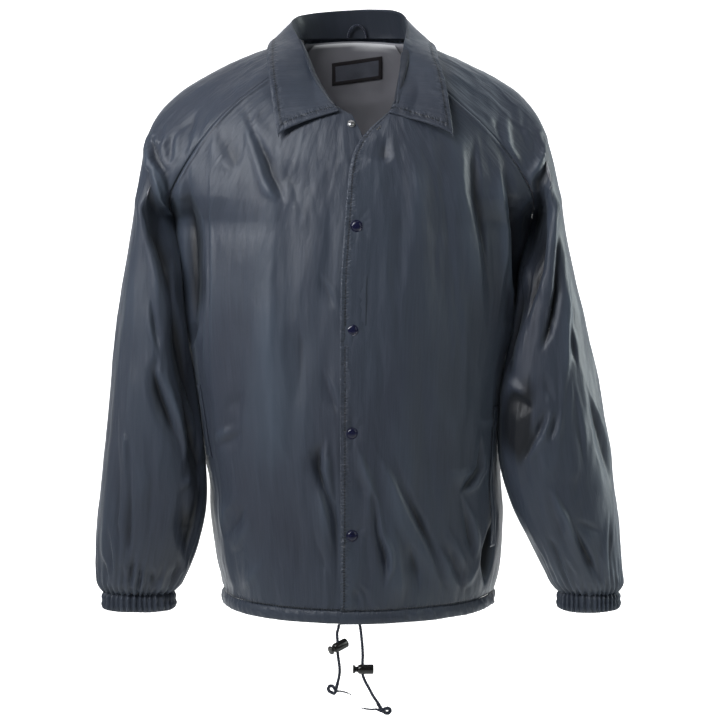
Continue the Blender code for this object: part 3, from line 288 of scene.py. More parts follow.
SLEEVE_FOLDS = {
    RIGHT: (
        (((-265, -116), (-270, -124), (-263, -145), (-251, -163), (-245, -186),
          (-247, -209)), 7.0, 4.6, -2.0),
        (((-277, -156), (-273, -163), (-268, -189), (-262, -219), (-256, -251), (-249, -288),
          (-243, -314), (-237, -353)), 8.0, 7.0, 2.0),
        (((-268, -156), (-261, -176), (-253, -206), (-246, -239), (-246, -272)), -3.0, 3.4, 0),
        (((-209, -80), (-217, -107), (-221, -136), (-223, -150)), 2.6, 5, 1.0),
        (((-234, -105), (-242, -131), (-244, -155)), 2.6, 5, 1.0),
        (((-253, -96), (-256, -112), (-256, -135)), 2.0, 4.5, 0.8),
        (((-190, -77), (-200, -102), (-209, -125)), 1.4, 5, 0.5),
        (((-292, -478), (-295, -537), (-298, -591), (-300, -638), (-300, -680)), 3.6, 5, 0),
        (((-306, -493), (-303, -511), (-302, -565), (-302, -632)), -2.0, 3.6, 0),
        (((-311, -509), (-313, -566), (-317, -619), (-311, -669)), 2.6, 4, 0.8),
        (((-257, -398), (-264, -419), (-257, -444), (-242, -484), (-232, -511),
          (-226, -545)), 7.0, 6.0, 2.0),
        (((-252, -405), (-242, -445), (-232, -482), (-223, -521), (-218, -557)), -2.4, 4.5, 0),
        (((-218, -557), (-225, -565), (-234, -576)), -2.4, 4, 0),
        (((-269, -314), (-264, -355), (-257, -397)), 2.6, 3.2, -1.4),
        (((-242, -322), (-232, -381), (-220, -439), (-212, -477), (-205, -563)), 8.0, 7.0, 0),
        (((-232, -433), (-222, -485), (-208, -539), (-205, -568)), 4.5, 6, 0),
        (((-230, -579), (-228, -613), (-232, -647)), 2.2, 7, 0),
        (((-277, -245), (-273, -288), (-270, -329), (-258, -387)), 1.8, 6, 0.8),
        (((-286, -327), (-288, -378), (-290, -432)), 1.4, 7, 0),
        (((-301, -394), (-303, -444), (-305, -485)), 1.5, 5, 0.6),
        (((-264, -506), (-270, -591), (-274, -646)), 1.2, 6, 0),
        (((-277, -480), (-278, -546), (-283, -626)), -1.4, 10, 0),
        (((-238, -624), (-221, -627), (-212, -627)), -1.0, 2.2, 0),
        (((-339, -657), (-333, -684), (-326, -715)), 3.0, 3.6, 1.0),
        (((-329, -616), (-325, -662), (-321, -714)), 2.6, 3.2, 0.9),
        (((-292, -648), (-297, -680), (-303, -713)), 3.6, 3.6, 1.2),
        (((-272, -669), (-270, -690), (-268, -714)), 2.2, 3.4, 0.8),
        (((-237, -647), (-236, -681), (-250, -704), (-260, -714)), 3.0, 4, 1.0),
        (((-252, -666), (-262, -693), (-278, -713)), 1.8, 4, 0.6),
        (((-310, -666), (-310, -692), (-312, -713)), 1.8, 2.8, 0.6),
        (((-284, -661), (-286, -690), (-290, -713)), 1.8, 2.8, 0.6),
        (((-321, -408), (-325, -460), (-329, -525), (-335, -592)), 1.2, 5, 0),
        (((-213, -588), (-219, -620), (-228, -670)), 2.5, 6, 0),
    ),
    LEFT: (
        (((196, -228), (198, -262), (196, -300), (192, -345), (190, -390), (196, -440)), 13.0, 15, 0),
        (((244, -114), (244, -129), (240, -149), (233, -166), (227, -177), (225, -197),
          (225, -239), (220, -273), (213, -315), (207, -353)), 10.0, 5.5, -1.8),
        (((239, -117), (237, -138), (233, -156), (228, -171)), -2.2, 3.2, 0),
        (((199, -73), (190, -87), (188, -107), (190, -131), (199, -149), (207, -163)), -3.2, 5, 0),
        (((180, -87), (176, -105), (181, -127)), 1.8, 5, 0),
        (((215, -84), (208, -110), (214, -138)), 2.0, 6, 0),
        (((231, -100), (223, -125), (223, -148)), 1.6, 5, 0),
        (((252, -186), (251, -206), (249, -264), (246, -311), (238, -359), (223, -394)), -4.0, 5.5, 0),
        (((251, -193), (258, -238), (254, -314), (243, -365), (230, -398)), 6.5, 5.5, 0),
        (((237, -194), (236, -238), (229, -289), (218, -327), (210, -366), (205, -405)), 6.5, 6.5, 0),
        (((266, -289), (266, -357), (266, -412), (262, -456)), -3.6, 5, 0),
        (((267, -281), (278, -330), (298, -394)), -1.4, 6, 0),
        (((268, -350), (274, -385), (280, -417)), 2.0, 2.6, 0.8),
        (((271, -412), (278, -456), (284, -496), (292, -544)), 1.6, 3, 0.8),
        (((286, -424), (298, -458), (310, -494), (321, -536), (330, -576)), 3.0, 3.4, 1.8),
        (((245, -461), (232, -491), (216, -524), (203, -545)), 4.6, 4, 2.0),
        (((258, -464), (250, -487), (243, -512)), 3.0, 3.4, 1.4),
        (((189, -421), (200, -439), (219, -452)), -3.0, 6, 0),
        (((192, -438), (206, -456), (224, -466)), 3.5, 8, 0),
        (((237, -416), (241, -441), (252, -459)), 2.4, 6, 0),
        (((258, -560), (249, -573), (258, -594), (268, -610), (278, -639), (288, -665),
          (300, -686), (310, -702)), -4.2, 4.2, 0),
        (((273, -611), (286, -639), (299, -666), (317, -700)), 5.0, 5, 0),
        (((275, -610), (295, -619), (315, -630)), 2.6, 4, 0),
        (((243, -570), (254, -601), (262, -632), (274, -667)), 2.2, 7, 0),
        (((326, -598), (326, -636), (328, -701)), 3.6, 3.6, -1.6),
        (((240, -630), (251, -650), (265, -684), (280, -714)), 3.2, 3.6, -1.2),
        (((284, -546), (280, -572), (269, -594)), 1.6, 8, 0),
        (((304, -510), (312, -549), (318, -589)), -1.2, 6, 0),
        (((226, -559), (233, -599), (243, -633)), 1.4, 8, 0),
        (((293, -661), (300, -680), (309, -704)), 1.6, 2.6, 0),
        (((307, -650), (313, -675), (318, -701)), 2.0, 2.8, 0.7),
        (((264, -661), (280, -688), (291, -710)), 1.6, 3, 0.6),
        (((218, -508), (213, -547), (224, -593)), 1.5, 7, 0),
    ),
}

# The same for the sides that face away, x and height
BACK_FOLDS = (
    (((-185, -95), (-160, -150), (-128, -215), (-112, -280)), 4.5, 8, -1.6),
    (((-150, -75), (-128, -120), (-95, -170)), 2.4, 8, -0.8),
    (((168, -100), (146, -150), (118, -220), (100, -290)), 4.2, 8, 1.6),
    (((128, -80), (112, -125), (86, -168)), 2.2, 8, 0.8),
    (((-70, -58), (-30, -76), (22, -72), (58, -56)), 2.0, 9, 0.6),
    (((-44, -100), (0, -116), (40, -104)), 1.4, 10, 0.5),
    (((-222, -180), (-216, -270), (-205, -360), (-196, -450)), 5.5, 8, 2.0),
    (((-240, -250), (-232, -330), (-220, -420)), 4.0, 6, 1.2),
    (((212, -190), (206, -280), (192, -370), (182, -470)), 5.5, 8, -2.0),
    (((-150, -300), (-140, -400), (-146, -520), (-138, -640)), 2.4, 14, 0.0),
    (((-90, -420), (-84, -520), (-66, -620), (-60, -705)), 4.0, 8, 1.4),
    (((-110, -520), (-112, -600), (-100, -700)), -2.2, 7, 0.0),
    (((-30, -300), (-22, -420), (-26, -540)), 1.8, 16, 0.0),
    (((18, -380), (30, -480), (28, -590), (40, -700)), 3.6, 8, -1.4),
    (((52, -560), (56, -640), (70, -708)), -2.4, 6, 0.0),
    (((96, -440), (104, -540), (96, -640), (104, -706)), 4.2, 8, 1.2),
    (((128, -330), (132, -430), (140, -530)), 2.0, 13, 0.0),
    (((150, -560), (146, -640), (154, -706)), 3.4, 6, -1.0),
    (((-176, -540), (-170, -620), (-178, -704)), 3.6, 6, 1.0),
    (((-20, -640), (-14, -680), (-18, -710)), 2.4, 5, 0.6),
    (((66, -200), (50, -300), (58, -380)), 1.4, 14, 0.0),
    (((-70, -190), (-58, -270), (-66, -350)), 1.4, 14, 0.0),
)
SLEEVE_BACK_FOLDS = {
    RIGHT: (
        (((-196, -88), (-214, -128), (-232, -178), (-240, -215)), 6.0, 7, -2.0),
        (((-226, -92), (-246, -130), (-262, -176), (-266, -230)), 4.2, 6, -1.4),
        (((-258, -110), (-276, -160), (-280, -220)), 3.0, 6, 1.0),
        (((-250, -210), (-262, -290), (-256, -370), (-240, -440)), 6.0, 7, 2.2),
        (((-284, -240), (-292, -330), (-288, -420)), 2.6, 8, 0.8),
        (((-272, -400), (-262, -470), (-240, -530)), 5.5, 6, 1.8),
        (((-304, -380), (-310, -470), (-306, -560)), 3.0, 6, 1.0),
        (((-280, -500), (-286, -580), (-296, -660)), 3.6, 7, 0.0),
        (((-250, -540), (-246, -610), (-262, -690)), 4.2, 5, 1.4),
        (((-322, -560), (-326, -630), (-318, -712)), 3.2, 4, 1.0),
        (((-306, -640), (-304, -680), (-304, -714)), 3.0, 3.4, 0.9),
        (((-282, -630), (-284, -676), (-288, -714)), 3.2, 3.4, 1.0),
        (((-262, -650), (-268, -686), (-272, -714)), 2.6, 3.4, 0.8),
        (((-332, -650), (-330, -686), (-324, -714)), 2.6, 3.2, 0.8),
    ),
    LEFT: (
        (((172, -92), (192, -132), (210, -180), (218, -216)), 6.0, 7, 2.0),
        (((204, -94), (224, -132), (236, -180), (242, -236)), 4.0, 6, 1.4),
        (((232, -110), (246, -160), (252, -220)), 3.0, 6, -1.0),
        (((226, -214), (240, -290), (234, -372), (218, -440)), 6.0, 7, -2.2),
        (((262, -250), (272, -340), (270, -430)), 2.6, 8, -0.8),
        (((250, -400), (240, -470), (220, -536)), 5.5, 6, -1.8),
        (((290, -390), (300, -480), (300, -570)), 3.0, 6, -1.0),
        (((264, -500), (272, -580), (288, -660)), 3.6, 7, 0.0),
        (((232, -540), (240, -610), (262, -690)), 4.2, 5, -1.4),
        (((318, -560), (324, -630), (322, -712)), 3.2, 4, -1.0),
        (((306, -640), (308, -680), (306, -714)), 3.0, 3.4, -0.9),
        (((286, -630), (288, -676), (290, -714)), 3.2, 3.4, -1.0),
        (((266, -650), (272, -686), (276, -714)), 2.6, 3.4, -0.8),
    ),
}

# Deep shade where a sleeve turns in behind its folds, in the same form
SLEEVE_SHADES = {
    RIGHT: (
        (((-242, -346), (-226, -450), (-220, -503), (-211, -581), (-220, -627), (-244, -698)), 9.0, 7, 0),
        (((-247, -215), (-246, -272), (-242, -340)), 6.0, 5, 0),
    ),
    LEFT: (
        (((194, -412), (202, -470), (206, -500), (203, -560)), 15.0, 15, 0),
        (((216, -400), (216, -450), (208, -520)), 12.0, 11, 0),
    ),
}

# How finely the cloth is divided
FRONT_GRID = (150, 236)
BACK_GRID = (176, 180)
SLEEVE_GRID = (200, 190)
HEM_GRID = {"front": (170, 9), "back": (300, 9)}
CUFF_GRID = (260, 16)
COLLAR_GRID = (190, 56)

# Sleeve ends and casings
GATHERS_ROUND = 34
GATHER_DEPTH = 3.0
GATHER_FADE = 34.0
# How far the front of a sleeve head is moved outwards: share down the sleeve, millimetres
SHOULDER_SETTLE = {
    RIGHT: (
        (0.60, 0), (0.70, -0.5), (0.78, -3), (0.84, -6.5), (0.88, -6.5), (0.92, -4), (0.97, 1),
        (1.00, 4.5), (1.03, 2.5), (1.08, 1), (1.20, 0), (2.00, 0),
    ),
    LEFT: (
        (0.60, 0), (0.70, -1), (0.78, -4), (0.84, -6), (0.88, -7), (0.92, -5.5), (0.97, -2),
        (1.00, 3.5), (1.03, 1.7), (1.08, 0.6), (1.20, 0), (2.00, 0),
    ),
}
INNER_FILL = {RIGHT: 5.0, LEFT: 9.0}
HEM_SECTION = (
    (-716.4, -0.9), (-718.4, 0.1), (-721.5, 1.3), (-725.5, 1.7), (-729.5, 1.4), (-732.4, 0.5),
    (-733.4, -0.8), (-732.6, -2.0), (-730.0, -2.6), (-726.0, -2.7),
)
CUFF_SECTION = (
    (-716.6, -1.2), (-718.2, -1.0), (-719.6, -0.2), (-721.2, 0.8), (-723.0, 1.5), (-725.0, 1.6),
    (-727.0, 1.2), (-729.0, 1.1), (-731.0, 1.5), (-733.0, 1.9), (-735.0, 1.8), (-737.0, 1.3),
    (-739.0, 0.7), (-740.6, -0.2), (-741.4, -1.5), (-740.8, -2.8), (-739.0, -3.2),
)

# Trims
SNAP_SPACING = 130.0
TOP_VISIBLE_SNAP = -229.0
VISIBLE_SNAPS = 4
SNAP_FROM_EDGE = 15.0
SURFACE_GAP = 0.4
OVERLAP_LIFT = 1.9
OVERLAP_TUCK = 1.6
OVERLAP_WIDTH = 40.0
OVERLAP_FADE = 70.0
TOP_STUD = (-11.0, -103.0)
TOP_SOCKET = (20.5, -107.0)
LINING_DROP = 1.7
LABEL_SIZE = (68.0, 30.0)
LABEL_CENTRE = (-4.0, -31.0)
LABEL_TURN = 8.0
LOOP_WIDTH = 24.0
LOOP_HEIGHT = 17.0
LOOP_X, LOOP_Y, LOOP_Z = -4.0, 73.5, 11.5
LOOP_LEAN = 0.27
LOOP_RADIUS = 1.3
POCKET = {
    RIGHT: (-438.0, -533.0, 0.82, 0.81),
    LEFT: (-466.0, -650.0, 0.815, 0.785),
}
WELT_WIDTH = 15.0
PANEL_ROUND = 330.0

# Topstitching: how far in the lines lie, and how far a line's puckers reach
EDGE_STITCH = 6.3
HEM_STITCH = 1.8
COLLAR_STITCH = (7.6, 10.6)
PUCKER_REACH = 10.0
# The threads themselves: insets on the collar, where they start on its ends, and the levels that
# the rows along the raglan seams start from and run over
COLLAR_THREAD = (7.6, 10.4)
THREAD_FROM = 0.42
SEAM_START = UNDERARM_LEVEL + 0.012
SEAM_RUN = 0.985 - UNDERARM_LEVEL

# Drawcords: points of each route from the hem, x and height, in the plane of its cord
CORD_DIAMETER = 4.0
CORD_PLANE = {1: -151.3, 2: -148.0}
CORD_ROUTE = {
    1: (
        (-26.6, -733.5), (-27.6, -739), (-29.0, -744.5), (-28.9, -750), (-28.4, -756),
        (-28.3, -762.6), (-28.3, -770), (-27.4, -778), (-26.2, -787), (-25.9, -795),
        (-27.2, -804), (-29.6, -813),
    ),
    2: (
        (-0.4, -733.5), (0.8, -741), (1.9, -751), (3.0, -763), (3.5, -774),
        (3.2, -783), (3.2, -792.3), (3.6, -800), (6.6, -808), (11.5, -817),
        (17.0, -827.5), (25.2, -839.4),
    ),
}
CORD_STEPS = {1: 150, 2: 204}
LOCK = {1: (5, (-0.77, -0.57, -0.28)), 2: (6, (-1.0, 0.0, 0.0))}
LOCK_OFFSET = 4.2
KNOT = {
    1: (
        (-28.2, -808.5, 0), (-29.8, -814.5, -0.5), (-31.2, -819.7, -1.0), (-33.0, -823.0, 0.4),
        (-36.2, -821.9, 1.0), (-39.2, -819.9, 0.6), (-40.3, -816.4, 0), (-38.6, -813.4, -0.6),
        (-35.5, -812.8, -1.8), (-32.6, -815.0, -3.4), (-30.8, -818.6, -3.4), (-28.6, -819.7, -1.5),
        (-25.4, -819.9, -0.2), (-22.0, -820.5, 0), (-18.2, -821.5, 0), (-15.0, -822.8, 0),
    ),
    2: (
        (22.2, -836.0, 0), (26.0, -842.0, -0.5), (29.6, -846.5, -1.2), (33.7, -849.4, 0.2),
        (37.4, -848.6, 0.8), (38.4, -845.2, 0.8), (35.4, -842.9, -0.4), (31.3, -843.4, -2.6),
        (28.0, -845.2, -3.6), (24.3, -844.9, -2.0), (20.1, -844.3, -0.2), (14.5, -844.6, 0.2),
        (8.9, -844.0, 0), (5.1, -843.3, 0),
    ),
}

# Camera and stage
CAMERA_PLACE = (0.0, -3.0, -0.10)
CAMERA_AIM = (0.0, 0.0, -0.412)
PIXEL_AT_AIM = 0.00132
SENSOR = 36.0
PHOTO_SIDE = 720
FLOOR_HEIGHT = -1.25

# Lights: name, place, aim, width, height, power, colour
LIGHTS = (
    ("key_softbox", (-1.3, -1.7, 1.15), (-0.05, 0.0, -0.12), 0.8, 0.8, 16.0, 180, (0.95, 0.975, 1.0)),
    ("near_softbox", (-1.0, -0.85, 0.20), (-0.05, -0.1, -0.24), 0.4, 0.4, 1.8, 90, (0.95, 0.975, 1.0)),
    ("upper_softbox", (-0.6, -1.3, 1.0), (-0.05, 0.0, -0.10), 0.5, 0.5, 2.1, 100, (0.95, 0.975, 1.0)),
    ("side_strip_right", (1.9, -0.9, 0.4), (0.1, 0.0, -0.30), 0.4, 1.6, 5.0, 180, (0.90, 1.0, 0.95)),
    ("rim_strip_right", (1.9, 0.5, 0.1), (0.2, 0.0, -0.40), 0.4, 1.4, 30.0, 180, (0.92, 1.0, 0.97)),
    ("high_right", (2.2, -1.6, 1.3), (0.0, 0.0, -0.20), 0.8, 1.2, 2.0, 180, (0.93, 1.0, 0.97)),
    ("side_strip_left", (-1.9, -0.4, 0.2), (-0.1, 0.0, -0.42), 0.5, 1.8, 3.0, 180, (0.95, 0.98, 1.0)),
    ("top_softbox", (0.0, 0.1, 1.8), (0.0, 0.0, -0.2), 1.6, 1.2, 2.5, 180, (1.0, 1.0, 1.0)),
    ("backdrop_wash", (0.0, 1.2, 1.6), (0.0, 3.2, -0.9), 3.0, 1.0, 40.0, 180, (1.0, 1.0, 1.0)),
)


def slope_at(rows, index, column):
    """Slope of a table's column at a row, from its neighbours."""
    below, above = max(index - 1, 0), min(index + 1, len(rows) - 1)
    return (rows[above][column] - rows[below][column]) / (rows[above][0] - rows[below][0])


def read(rows, at):
    """Smooth values of a table's later columns where its first column is at."""
    keys = [row[0] for row in rows]
    at = min(max(at, keys[0]), keys[-1])
    index = min(bisect_right(keys, at) - 1, len(rows) - 2)
    span = keys[index + 1] - keys[index]
    t = (at - keys[index]) / span
    values = []
    for column in range(1, len(rows[0])):
        start, end = rows[index][column], rows[index + 1][column]
        leave = slope_at(rows, index, column) * span
        arrive = slope_at(rows, index + 1, column) * span
        values.append(
            start * (1 + 2 * t) * (1 - t) ** 2
            + leave * t * (1 - t) ** 2
            + end * t * t * (3 - 2 * t)
            + arrive * t * t * (t - 1)
        )
    return values


def bezier(start, leave, arrive, end, t):
    s = 1 - t
    return start * s**3 + leave * (3 * s * s * t) + arrive * (3 * s * t * t) + end * t**3


def evened(t):
    """Share along a panel's row that spaces its columns evenly over the cloth."""
    return t * (0.76 + 0.24 * t)


def smooth_step(t):
    t = min(max(t, 0.0), 1.0)
    return t * t * (3 - 2 * t)


# Shapes of the panels: each row's curve is worked out once, then read at any share across it


def front_row(side, v):
    """Control points of a front's row, from its edge to its side or raglan seam."""
    z_edge, z_seam = read(LEVELS, v)
    left_edge, right_edge, depth = read(FRONT_EDGE, z_edge)
    right_x, left_x, seam_y, turn, reach = read(FRONT_SEAM, z_seam)
    out = -1 if side == RIGHT else 1
    edge_x = right_edge if side == RIGHT else left_edge
    seam_x = right_x if side == RIGHT else left_x
    start = Vector((edge_x, depth, z_edge))
    end = Vector((seam_x, seam_y, z_seam))
    wide, rise = abs(seam_x - edge_x), z_seam - z_edge
    turn = math.radians(turn)
    leave = start + Vector((out * wide * 0.60, 0, rise * 0.20))
    arrive = end - Vector((out * math.cos(turn), math.sin(turn), 0)) * reach
    arrive.z -= rise * 0.28
    return start, leave, arrive, end


def front_base(side, u, v):
    return bezier(*front_row(side, v), evened(u))


def back_rows(v):
    """Control points of the back's row: its middle, then each half's leave, arrive and seam."""
    z_mid, x_mid, y_mid = read(BACK_CENTRE, v)
    if v <= UNDERARM_LEVEL:
        z_seam = read(LEVELS, v)[1]
        right_x, left_x, seam_y, _, reach = read(FRONT_SEAM, z_seam)
        reach *= 0.88
        turn = 90.0
    else:
        z_seam, right_x, left_x, seam_y, turn, reach = read(BACK_SEAM, v)
    middle = Vector((x_mid, y_mid, z_mid))
    turn = math.radians(turn)
    halves = []
    for out, seam_x in ((-1, right_x), (1, left_x)):
        end = Vector((seam_x, seam_y, z_seam))
        wide, rise = abs(seam_x - x_mid), z_seam - z_mid
        leave = middle + Vector((out * wide * 0.58, 0, rise * 0.10))
        arrive = end - Vector((out * math.cos(turn), -math.sin(turn), 0)) * reach
        arrive.z -= rise * 0.28
        halves.append((middle, leave, arrive, end))
    return halves


def back_base(u, v):
    return bezier(*back_rows(v)[0 if u < 0.5 else 1], evened(abs(2 * u - 1)))


def sleeve_arc(start, leave, top, reach_front, reach_back, arrive, end, t):
    """One row round a sleeve: front seam, top line at t 0.5, back seam."""
    if t <= 0.5:
        return bezier(start, leave, top + Vector((0, -reach_front, 0)), top, 2 * t)
    return bezier(top, top + Vector((0, reach_back, 0)), arrive, end, 2 * t - 1)


def head_row(side, share):
    """The curve round a sleeve head at a share of the way from the neck to the underarm."""
    level = 1 - share * (1 - UNDERARM_LEVEL)
    out = -1 if side == RIGHT else 1
    z_front = read(LEVELS, level)[1]
    right_x, left_x, y_front, _, _ = read(FRONT_SEAM, z_front)
    z_back, back_right, back_left, y_back, _, _ = read(BACK_SEAM, level)
    start = Vector((right_x if side == RIGHT else left_x, y_front, z_front))
    end = Vector((back_right if side == RIGHT else back_left, y_back, z_back))
    ridge_x, ridge_z = read(RIDGE[side], share)
    top = Vector((ridge_x, RIDGE_Y, ridge_z))
    outward, across, up, reach_seam, reach_top = read(HEAD, share)
    leave = start + Vector((out * outward, across, up)) * reach_seam
    arrive = end + Vector((out * outward, -across, up)) * reach_seam
    if share > 0.99:
        arrive = end + Vector((0, reach_seam * 1.05, 0))
    return start, leave, top, reach_top, reach_top, arrive, end


def arm_row(side, z):
    """The closed curve round the arm at a height of its inner side."""
    out_r, in_r, out_l, in_l, y_front, y_back, rise = read(ARM[::-1], z)
    outer, inner = (out_r, in_r) if side == RIGHT else (out_l, in_l)
    middle = (y_front + y_back) / 2
    settle = smooth_step((UNDERARM - z) / 90)
    near_cuff = smooth_step((-600 - z) / 118)
    inner_y = 3 + (INNER_Y - 3) * settle
    inner_y += (middle - inner_y) * near_cuff
    outer_y = RIDGE_Y + (middle - RIDGE_Y) * settle
    slant = INNER_SLANT * settle * (1 - near_cuff) * (-1 if side == RIGHT else 1)
    start = Vector((inner, inner_y, z))
    top = Vector((outer, outer_y, z + rise))
    front = (inner_y - y_front) * 4 / 3
    back = (y_back - inner_y) * 4 / 3
    leave = start + Vector((0, -front, 0))
    arrive = start + Vector((slant * back, back, 0))
    top_front, top_back = (outer_y - y_front) * 4 / 3, (y_back - outer_y) * 4 / 3
    return start, leave, top, top_front, top_back, arrive, start.copy()


def sleeve_row(side, w):
    """Row of a sleeve: w 0 at the neck, 1 at the underarm, 2 at the cuff."""
    if w <= 1:
        return head_row(side, w)
    return arm_row(side, UNDERARM + (CUFF_TOP - UNDERARM) * (w - 1))


def collar_point(u, v):
    """Collar: u from the right end to the left, v 0 neck seam, 0.4 fold, 1 leaf edge."""
    row = read(COLLAR, u)
    seam, fold, edge = Vector(row[0:3]), Vector(row[3:6]), Vector(row[6:9])
    leaf = edge - fold
    out = Vector((leaf.x, leaf.y, 0)).normalized()
    ends = smooth_step(min(u, 1 - u) / 0.12)
    top = fold + Vector((0, 0, -1.2 + 1.2 * ends)) - out * 1.5 * ends
    if v <= 0.4:
        t = v / 0.4
        return bezier(seam, seam + Vector((0, 0, 6)) * ends, fold - out * 1.5, top, t)
    t = (v - 0.4) / 0.6
    # over the shoulders the leaf hangs straight from its fold
    straight = math.exp(-(((min(u, 1 - u) - 0.33) / 0.09) ** 2))
    full = (top + out * (2.5 + 1.5 * ends)).lerp(top.lerp(edge, 0.33), straight)
    drop = (edge + Vector((0, 0, 12))).lerp(top.lerp(edge, 0.7), straight)
    return bezier(top, full, drop, edge, t)


def level_of(height):
    """Level of a panel whose front edge is at a height."""
    low, high = 0.0, 1.0
    for _ in range(30):
        middle = (low + high) / 2
        if read(LEVELS, middle)[0] < height:
            low = middle
        else:
            high = middle
    return low


def share_at(side, x, level):
    """Share across a front where it reaches an x at a level."""
    low, high = 0.0, 1.0
    out = -1 if side == RIGHT else 1
    row = front_row(side, level)
    for _ in range(30):
        middle = (low + high) / 2
        if (bezier(*row, evened(middle)).x - x) * out < 0:
            low = middle
        else:
            high = middle
    return low


def softened(values, reach):
    """The same list of numbers or vectors, each blended with its neighbours within a reach."""
    weights = [math.exp(-((step / (reach * 0.5)) ** 2) / 2) for step in range(reach + 1)]
    last = len(values) - 1
    soft = []
    for index, value in enumerate(values):
        total, weight = value * weights[0], weights[0]
        # near the ends the reach shrinks, so that the first and last rows stay in place
        for step in range(1, min(reach, index, last - index) + 1):
            total = total + (values[index - step] + values[index + step]) * weights[step]
            weight += 2 * weights[step]
        soft.append(total / weight)
    return soft


def soft_panel_rows(rows, reach=22):
    """Rows of a panel with the bends between their levels eased, their ends left in place."""
    leaves = softened([row[1] for row in rows], reach)
    arrives = softened([row[2] for row in rows], reach)
    return [
        (row[0], leave, arrive, row[3]) for row, leave, arrive in zip(rows, leaves, arrives)
    ]


def soft_sleeve_rows(rows, reach=14):
    """Rows round a sleeve with the bend between head and arm eased, their seams in place."""
    leaves = softened([row[1] for row in rows], reach)
    tops = softened([row[2] for row in rows], reach)
    fronts = softened([row[3] for row in rows], reach)
    backs = softened([row[4] for row in rows], reach)
    arrives = softened([row[5] for row in rows], reach)
    return [
        (row[0], leave, top, front, back, arrive, row[6])
        for row, leave, top, front, back, arrive in zip(rows, leaves, tops, fronts, backs, arrives)
    ]


# Folds and wrinkles


def along_fold(x, z, points):
    """Distance, side (positive on the left of travel) and share along of a fold's polyline."""
    best = None
    count = len(points) - 1
    for index in range(count):
        x1, z1 = points[index]
        x2, z2 = points[index + 1]
        dx, dz = x2 - x1, z2 - z1
        t = ((x - x1) * dx + (z - z1) * dz) / (dx * dx + dz * dz)
        t = min(max(t, 0.0), 1.0)
        away_x, away_z = x - x1 - t * dx, z - z1 - t * dz
        far = away_x * away_x + away_z * away_z
        if best is None or far < best[0]:
            best = (far, dx * away_z - dz * away_x, (index + t) / count)
    return math.sqrt(best[0]), best[1], best[2]


class FoldSet:
    """The folds of one side of a piece, each with the box outside which it does nothing."""

    def __init__(self, rows, strength):
        self.rows = []
        for points, depth, width, lip in rows:
            reach = width * 4.0
            xs, zs = [p[0] for p in points], [p[1] for p in points]
            box = min(xs) - reach, max(xs) + reach, min(zs) - reach, max(zs) + reach
            self.rows.append((box, points, depth * strength, width, lip * strength))

    def height(self, x, z):
        total = 0.0
        for box, points, depth, width, lip in self.rows:
            if x < box[0] or x > box[1] or z < box[2] or z > box[3]:
                continue
            away, side, share = along_fold(x, z, points)
            # pointed at the ends, and broadest at a place of its own
            broad = 0.3 + 0.4 * abs(math.sin(0.37 * points[0][0] + 0.21 * points[0][1]))
            ends = smooth_step(share / broad + 0.06) * smooth_step((1 - share) / (1 - broad) + 0.06)
            width *= 0.45 + 0.75 * ends
            # a crisp line with a steep face on the lip's side, a long soft slope on the other
            shift = away * (1 if side > 0 else -1) * (1 if lip >= 0 else -1)
            near = away / (width * (1.25 if shift > 0 else 2.7))
            rise = -depth * max(0.0, 1 - near) ** 1.4
            if lip:
                rise += abs(lip) * math.exp(-(((shift - 1.5 * width) / (0.95 * width)) ** 2))
            total += rise * ends
        return total


def wrinkle(point, seed, size, drop):
    """Small uneven wrinkles, longer down the cloth than across it, in shares of their height."""
    place = Vector((point.x / size, point.y / size, point.z / (size * drop))) + Vector((seed,) * 3)
    return noise.fractal(place, 0.9, 2.1, 3)


def crackle(point, seed, size, drop):
    """Sharp little creases of crumpled nylon: narrow ridges with flats between."""
    place = Vector((point.x / size, point.y / size, point.z / (size * drop))) + Vector((seed,) * 3)
    warp = noise.noise_vector(place * 0.6) * 0.5
    return max(0.0, 0.16 - abs(noise.noise(place + warp))) / 0.16


# Making cloth


def grid_mesh(columns, rows, width, height):
    """A flat grid with a UV map in metres of cloth, ready to be laid on a form."""
    bm = bmesh.new()
    uv = bm.loops.layers.uv.new("cloth")
    bmesh.ops.create_grid(bm, x_segments=columns, y_segments=rows, size=0.5, calc_uvs=True)
    for face in bm.faces:
        for loop in face.loops:
            loop[uv].uv = ((loop.vert.co.x + 0.5) * width, (loop.vert.co.y + 0.5) * height)
    return bm


def lay_grid(bm, columns, rows, point_of):
    """Puts each grid vertex on point_of(column, row), in millimetres, and returns its place."""
    where = []
    for vert in bm.verts:
        column = round((vert.co.x + 0.5) * columns)
        row = round((vert.co.y + 0.5) * rows)
        where.append((column / columns, row / rows))
        vert.co = point_of(column, row) * MM
    bm.normal_update()
    return where


def face_outwards(bm, spot, towards):
    middle = min(bm.faces, key=lambda face: (face.calc_center_median() - spot * MM).length)
    if middle.normal.dot(towards) < 0:
        bmesh.ops.reverse_faces(bm, faces=bm.faces)
        bm.normal_update()


def raise_cloth(bm, where, rise_of, keep="fold"):
    """Moves the cloth along its own normals and keeps a second value in an attribute: mostly the height,
    which the shell's finish turns into painted shade in hollows and painted highlight on ridges.
    """
    layer = bm.verts.layers.float.new(keep)
    moves = []
    for vert, (u, v) in zip(bm.verts, where):
        rise, seen = rise_of(u, v, vert.co / MM, vert.normal)
        moves.append((vert, vert.normal * (rise * MM)))
        vert[layer] = seen
    for vert, move in moves:
        vert.co += move


def as_piece(name, bm, materials, body=JACKET, merge=0.00002):
    bmesh.ops.remove_doubles(bm, verts=bm.verts, dist=merge)
    mesh = bpy.data.meshes.new(name)
    bm.to_mesh(mesh)
    bm.free()
    piece = bpy.data.objects.new(name, mesh)
    bpy.context.scene.collection.objects.link(piece)
    for material in materials:
        mesh.materials.append(material)
    mesh.shade_smooth()
    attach(piece, body)
    return piece


